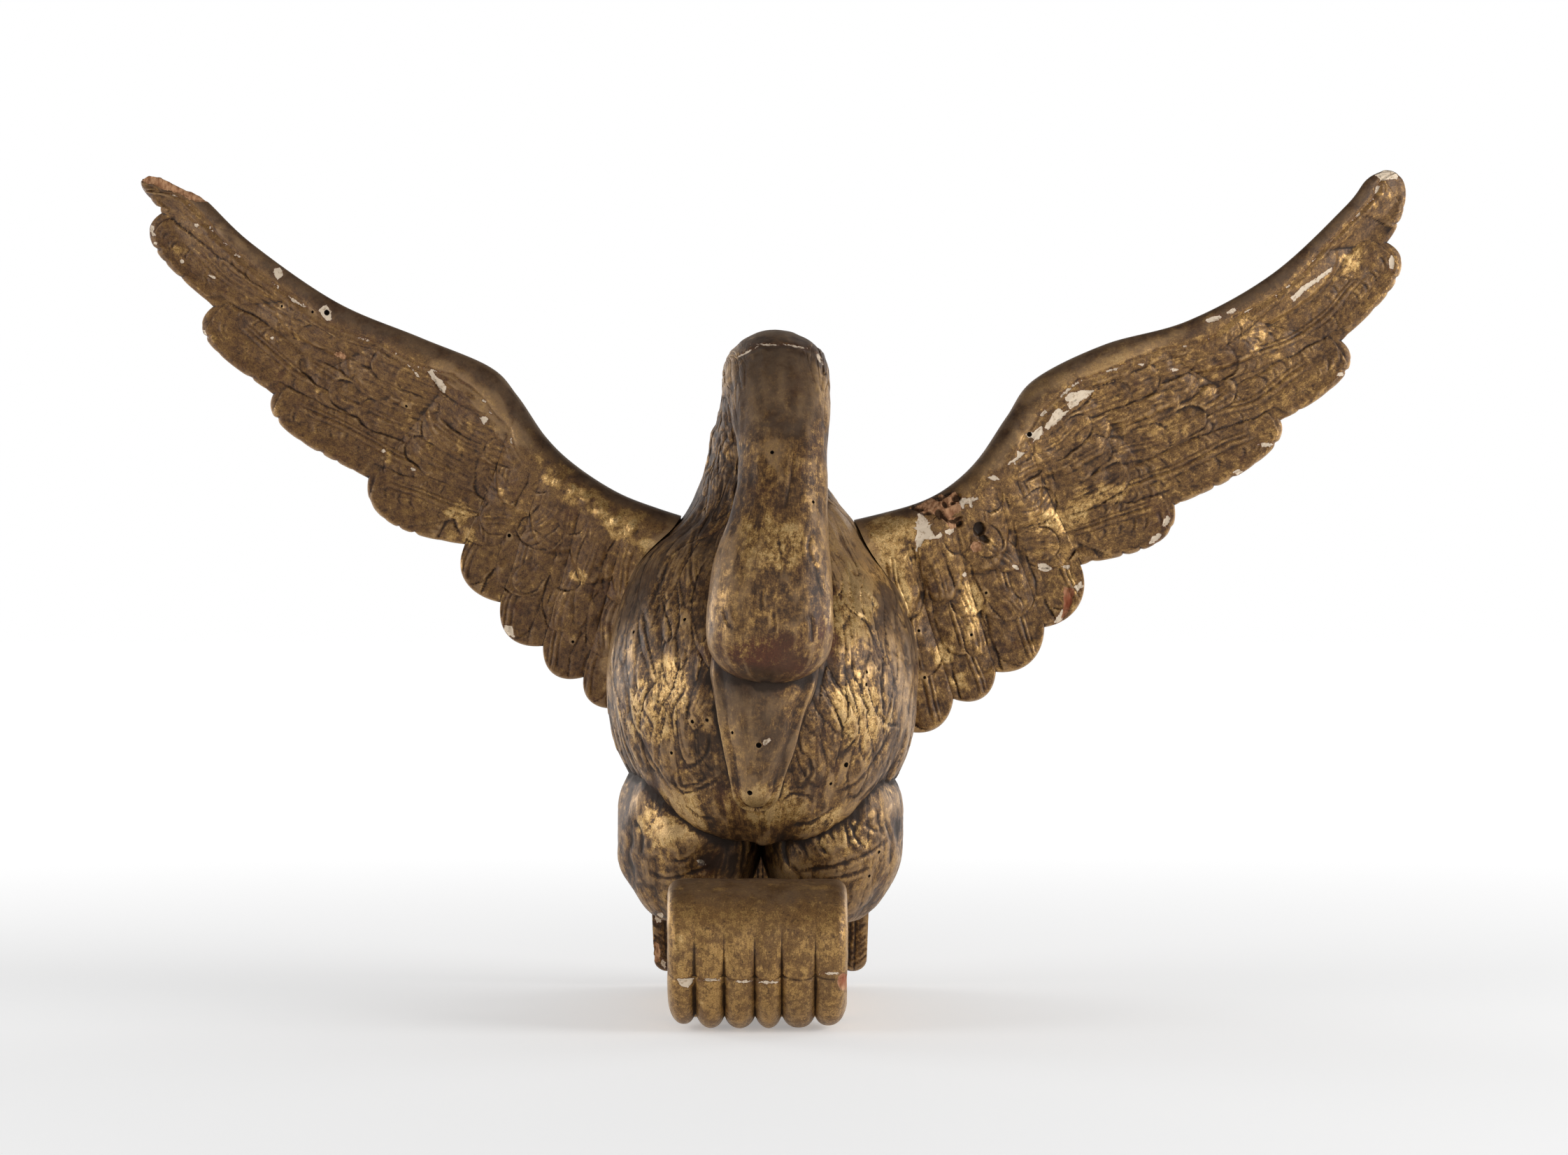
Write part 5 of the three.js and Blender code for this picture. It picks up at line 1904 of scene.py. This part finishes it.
def wear(thing):
    """Dents the chips and records where the finish is chipped, rubbed, dusty and dirty, and where shade and
    sheen are painted
    """
    mesh = thing.data
    points = points_of(mesh)
    normals = normals_of(mesh)
    pixels = seen_pixels(points)
    facing = np.sum(normals * unit(CAMERA_PLACE - points), axis=1)
    seen = facing > 0
    off_wings = seen * (thing.name in ("carved_body", "fluted_plinth"))
    # The wing bone's field: its positive cap is dust and painted shade, its negative strip painted sheen and
    # wear
    bone = get_field(mesh, "bone") if "bone" in mesh.attributes else np.zeros(len(points))
    wear_and_sheen_strip = np.clip(-bone, 0, 1)

    chip = mark_distance(pixels, CHIPS, CHIP_OUTLINES)
    flaked = wear_and_sheen_strip * (0.5 + 0.9 * cloud(points, (5, 5, 3), seed=56))
    chip = np.maximum(np.minimum(chip, 1.0 - 1.15 * flaked), np.where(facing > 0.05, DEEP, FAR))
    wood = mark_distance(pixels, BARE_PATCHES, BARE_OUTLINES)
    wood = np.maximum(wood, np.where(facing > -0.4, DEEP, FAR))
    uneven = 1.6 * cloud(points, 5, seed=57)
    rub = np.clip(0.4 - oval_distance(pixels, RUBBED) / 3 + uneven, 0, 1) * seen
    hollow = hollows(mesh, HOLLOW_ROUNDS)

    depth = CHIP_DEPTH * ease(-chip, -0.3, 0.6) + WOOD_DEPTH * ease(-wood, -0.3, 1.0)
    crumbled = 0.5 * cloud(points, 2.2, seed=51) * ease(-wood, 0, 1.5)
    hole = soft_places(points, pixels, CAVITIES, "cavities") * seen
    depth = depth + CAVITY_DEPTH * hole
    set_points(mesh, points - normals * (depth + crumbled)[:, None])
    mesh.update()

    # Painted shade: darker in the plinth's grooves and the crevices, more weakly under the head and breast,
    # and inside the cavities
    if thing.name == "fluted_plinth":
        painted_shade = 0.5 * soft_places(points, pixels, FLUTE_SHADE, "fluted") * seen
    else:
        painted_shade = soft_places(points, pixels, CREVICE_SHADE, "crevice_shade") * off_wings
    shade_and_tone_film = soft_places(points, pixels, SHADE_AND_DARKER_TONE, "shade_and_darker_tone") * off_wings
    painted_shade = np.maximum(np.maximum(painted_shade, 0.3 * shade_and_tone_film), 1.3 * hole)
    # Painted sheen and pale wear, which clear the dust and lower the hollow value
    pale = soft_places(points, pixels, SHEEN_AND_WEAR, "pale") * seen
    # Upward faces are greyed and darkened as dust and as painted shade of the dim light from above; the wing
    # bone's cap adds the same
    topside_dust_and_shade = ease(normals[:, 2], 0.45, 0.95)
    greyed = soft_places(points, pixels, DUSTED, "dusted") * off_wings
    dust = np.clip(np.maximum(greyed * 0.7 + topside_dust_and_shade * 0.8, 0.85 * np.clip(bone, 0, 1)), 0, 1)
    set_field(mesh, "chip", chip)
    set_field(mesh, "wood", wood)
    set_field(mesh, "rub", rub)
    set_field(mesh, "dust", dust * (1 - 0.8 * rub) * (1 - 0.7 * pale))
    set_field(mesh, "bole", soft_places(points, pixels, REDDENED, "reddened") * seen)
    # The hollow value: the cavity of the carving, lowered by the painted sheen and the bone's strip and
    # raised by the painted shade
    hollow = hollow * HOLLOW_GAIN - np.maximum(0.6 * wear_and_sheen_strip, 0.95 * pale) + painted_shade
    set_field(mesh, "hollow", np.clip(hollow, -1.2, 1.3))


def drill(piece, holes, hole_material):
    """Cuts worm holes straight in from the surface"""
    sides = HOLE_SIDES
    turn = once_around(sides)[:, None]
    i = np.arange(sides)
    j = (i + 1) % sides
    points, faces = [], []
    for count, (middle, outward, diameter) in enumerate(holes):
        side = unit(np.cross(outward, [0.3, 0.1, 1.0]))
        ring = (side * np.cos(turn) + np.cross(outward, side) * np.sin(turn)) * diameter / 2
        mouth = middle + outward * HOLE_RISE
        floor = middle - outward * HOLE_DEPTH
        points += [mouth + ring, floor + ring * HOLE_TAPER, mouth[None], floor[None]]
        start = count * (2 * sides + 2)
        mouth_middle = np.full(sides, start + 2 * sides)
        faces += [
            np.stack([start + i, start + sides + i, start + sides + j], axis=1),
            np.stack([start + i, start + sides + j, start + j], axis=1),
            np.stack([mouth_middle, start + i, start + j], axis=1),
            np.stack([mouth_middle + 1, start + sides + j, start + sides + i], axis=1),
        ]
    bit = new_object("bit", np.vstack(points), [np.vstack(faces)])
    bit.data.materials.append(hole_material)
    cut = piece.modifiers.new("drill", "BOOLEAN")
    cut.operation = "DIFFERENCE"
    cut.solver = "MANIFOLD"
    cut.material_mode = "TRANSFER"
    cut.object = bit
    with_modifiers_applied(piece)
    bpy.data.meshes.remove(bit.data)
    heal_seams(piece.data, [name for name in ("flow", "bone") if name in piece.data.attributes])


def hole_places(pieces):
    """For each piece, the worm holes that show on it: middle, outward direction and diameter"""
    graph = bpy.context.evaluated_depsgraph_get()
    trees = [BVHTree.FromObject(piece, graph) for piece in pieces]
    origin = Vector(CAMERA_PLACE * MM)
    places = {piece.name: [] for piece in pieces}
    for x, y, diameter in WORM_HOLES:
        aim = Vector(((x - FRAME_WIDTH / 2) / FOCAL_PIXELS, 1, (FRAME_HEIGHT / 2 - y) / FOCAL_PIXELS))
        hits = [(tree.ray_cast(origin, aim.normalized()), piece) for tree, piece in zip(trees, pieces)]
        hits = [(hit[3], hit[0], hit[1], piece) for hit, piece in hits if hit[0] is not None]
        if hits:
            _, middle, outward, piece = min(hits, key=lambda hit: hit[0])
            places[piece.name].append((np.array(middle) / MM, np.array(outward), diameter))
    return places


# The carved pieces, each with its limit of triangles
PIECES = {
    "carved_body": "body_triangles", "carved_right_wing": "wing_triangles",
    "carved_left_wing": "wing_triangles", "fluted_plinth": "plinth_triangles",
}


TONE = {"subtype": "COLOR", "size": 4, "min": 0, "max": 1}


class SwanCarving(bpy.types.PropertyGroup):
    """Sizes, colours and fineness of the carving"""

    lock_height: FloatProperty(
        name="Lock height", description="Height of the locks of feathers on the body",
        default=0.72 * MM, unit="LENGTH")
    swell_height: FloatProperty(
        name="Swell height", description="Height of the broad swells of the body",
        default=1.4 * MM, unit="LENGTH")
    bright_gold: FloatVectorProperty(
        name="Bright gold", description="Leaf that is whole and burnished",
        default=BRIGHT_GOLD, **TONE)
    gold: FloatVectorProperty(
        name="Gold", description="Leaf that is a little worn",
        default=GOLD, **TONE)
    dull_gold: FloatVectorProperty(
        name="Dull gold", description="Leaf worn thin over its ground",
        default=DULL_GOLD, **TONE)
    bole: FloatVectorProperty(
        name="Bole", description="Reddish ground under the leaf and around chips",
        default=BOLE, **TONE)
    dust: FloatVectorProperty(
        name="Dust", description="Grey dust on upper faces",
        default=DUST_AND_TOP_SHADE, **TONE)
    gesso: FloatVectorProperty(
        name="Gesso", description="Pale gesso in the chips",
        default=GESSO, **TONE)
    bare_wood: FloatVectorProperty(
        name="Bare wood", description="Wood where ground and leaf are lost",
        default=BARE_WOOD, **TONE)
    body_step: FloatProperty(
        name="Body step", description="Distance between rings of the body before it is thinned",
        default=0.85 * MM, unit="LENGTH")
    body_columns: IntProperty(
        name="Body columns", description="Points around the body before it is thinned", default=460)
    feather_steps: IntProperty(
        name="Feather steps", description="Points along the end of each wing feather", default=60)
    chord_steps: IntProperty(
        name="Chord steps", description="Points across the front of a wing", default=190)
    roll_columns: IntProperty(
        name="Roll columns", description="Points around the plinth's roll", default=300)
    roll_rows: IntProperty(
        name="Roll rows", description="Points across the plinth's roll", default=170)
    body_triangles: IntProperty(
        name="Body triangles", description="Faces left on the body", default=170000)
    wing_triangles: IntProperty(
        name="Wing triangles", description="Faces left on each wing", default=140000)
    plinth_triangles: IntProperty(
        name="Plinth triangles", description="Faces left on the plinth", default=90000)


def settle(piece, node):
    """Hands a carved piece to the frame, in the place of its solid"""
    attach(piece, "root")
    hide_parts(node)


class SWAN_OT_body(bpy.types.Operator):
    """Carve the swan's trunk, neck, head, thighs and tail"""

    bl_idname = "swan.body"
    bl_label = "Carve the Body"

    def execute(self, context):
        settle(carve_body("carved_body"), "swan_body")
        return {"FINISHED"}


class SWAN_OT_wings(bpy.types.Operator):
    """Carve both wings"""

    bl_idname = "swan.wings"
    bl_label = "Carve the Wings"

    def execute(self, context):
        room = wing_room()
        for name, node, data in (
            ("carved_right_wing", "right_wing", RIGHT_WING),
            ("carved_left_wing", "left_wing", LEFT_WING),
        ):
            settle(carve_wing(name, data, room), node)
        bpy.data.meshes.remove(room.data)
        return {"FINISHED"}


class SWAN_OT_plinth(bpy.types.Operator):
    """Carve the fluted plinth"""

    bl_idname = "swan.plinth"
    bl_label = "Carve the Plinth"

    def execute(self, context):
        settle(carve_plinth("fluted_plinth"), "scroll_plinth")
        return {"FINISHED"}


# Lights: name, place and width in metres, and power in watts, and the height they are aimed at
LIGHTS = (
    ("left_light", (-1.6, -0.6, 0.5), 0.9, 10.5),
    ("right_light", (1.6, -0.6, 0.55), 0.9, 18),
    ("front_light", (0.2, -2.6, 0.6), 1.5, 10.5),
    ("left_rim_light", (-1.5, 0.9, 0.45), 0.8, 8),
    ("right_rim_light", (1.5, 0.9, 0.45), 0.8, 6),
)
LIT_HEIGHT = 0.22
FLOOR = ((-6000, -3000, 0), (6000, -3000, 0), (6000, 9000, 0), (-6000, 9000, 0))


def studio_world():
    """White behind the swan, dim above and in front of it"""
    world = bpy.data.worlds.new("studio")
    world.use_nodes = True
    graph = Graph(world.node_tree)
    way = graph.add("ShaderNodeSeparateXYZ", {0: graph.add("ShaderNodeTexCoord").outputs["Generated"]})
    behind = graph.steps(way.outputs["Y"], -0.3, 0.8)
    low = graph.steps(way.outputs["Z"], 0.75, 0.3)
    share = graph.math("MULTIPLY", behind, low)
    light = graph.blend(share, (0.16, 0.16, 0.17, 1), (1.0, 1.0, 1.0, 1))
    graph.fill(world.node_tree.nodes["Background"], {"Color": light, "Strength": 1.0})
    return world


class SWAN_OT_finish(bpy.types.Operator):
    """Chip, drill and gild every carved piece"""

    bl_idname = "swan.finish"
    bl_label = "Age and Gild"

    def execute(self, context):
        pieces = [bpy.data.objects.get(name) for name in PIECES]
        if None in pieces:
            raise RuntimeError("A piece is missing: carve them all first")
        hole_material = worm_hole()
        holes = hole_places(pieces)
        for piece in pieces:
            piece.data.materials.clear()
            piece.data.materials.append(aged_gilding(*GILDINGS[piece.name]))
            piece.data.polygons.foreach_set("material_index", np.zeros(len(piece.data.polygons), np.int32))
            if holes[piece.name]:
                drill(piece, holes[piece.name], hole_material)
            thinned(piece, getattr(context.scene.swan_carving, PIECES[piece.name]))
            refined(piece)
            wear(piece)
            piece.data.polygons.foreach_set("use_smooth", np.ones(len(piece.data.polygons), bool))
            piece.data.set_sharp_from_angle(angle=SHARP_ANGLE)
        return {"FINISHED"}


class SWAN_OT_stage(bpy.types.Operator):
    """Set the camera, the lights and the pale floor"""

    bl_idname = "swan.stage"
    bl_label = "Set the Stage"

    def execute(self, context):
        camera = bpy.data.objects.new("camera", bpy.data.cameras.new("camera"))
        camera.data.sensor_width = SENSOR_WIDTH
        camera.data.lens = FOCAL_PIXELS * SENSOR_WIDTH / FRAME_WIDTH
        camera.location = CAMERA_PLACE * MM
        camera.rotation_euler = (math.pi / 2, 0, 0)
        context.scene.collection.objects.link(camera)
        context.scene.camera = camera
        floor = new_object("floor", np.array(FLOOR), [np.array([[0, 1, 2, 3]])])
        floor.data.materials.append(pale_floor())
        for name, place, size, power in LIGHTS:
            lamp = bpy.data.lights.new(name, "AREA")
            lamp.size = size
            lamp.energy = power
            light = bpy.data.objects.new(name, lamp)
            light.location = place
            aim = Vector((0, 0, LIT_HEIGHT)) - Vector(place)
            light.rotation_euler = aim.to_track_quat("-Z", "Y").to_euler()
            context.scene.collection.objects.link(light)
        context.scene.world = studio_world()
        context.scene.view_settings.view_transform = "Standard"
        return {"FINISHED"}


OPERATORS = (SWAN_OT_stage, SWAN_OT_plinth, SWAN_OT_body, SWAN_OT_wings, SWAN_OT_finish)


class SWAN_PT_sidebar(bpy.types.Panel):
    """Every step of the carving, in the order they are run, and its settings"""

    bl_idname = "SWAN_PT_sidebar"
    bl_label = "Swan Carving"
    bl_space_type = "VIEW_3D"
    bl_region_type = "UI"
    bl_category = "Swan"

    def draw(self, context):
        steps = self.layout.column()
        for operator in OPERATORS:
            steps.operator(operator.bl_idname)
        settings = self.layout.column()
        for name in SwanCarving.__annotations__:
            settings.prop(context.scene.swan_carving, name)


CLASSES = (SwanCarving, *OPERATORS, SWAN_PT_sidebar)


def register():
    for cls in CLASSES:
        bpy.utils.register_class(cls)
    bpy.types.Scene.swan_carving = PointerProperty(type=SwanCarving)


def unregister():
    del bpy.types.Scene.swan_carving
    for cls in reversed(CLASSES):
        bpy.utils.unregister_class(cls)


def main():
    register()
    bpy.ops.swan.stage()
    bpy.ops.swan.plinth()
    bpy.ops.swan.body()
    bpy.ops.swan.wings()
    bpy.ops.swan.finish()


if __name__ == "__main__":
    main()
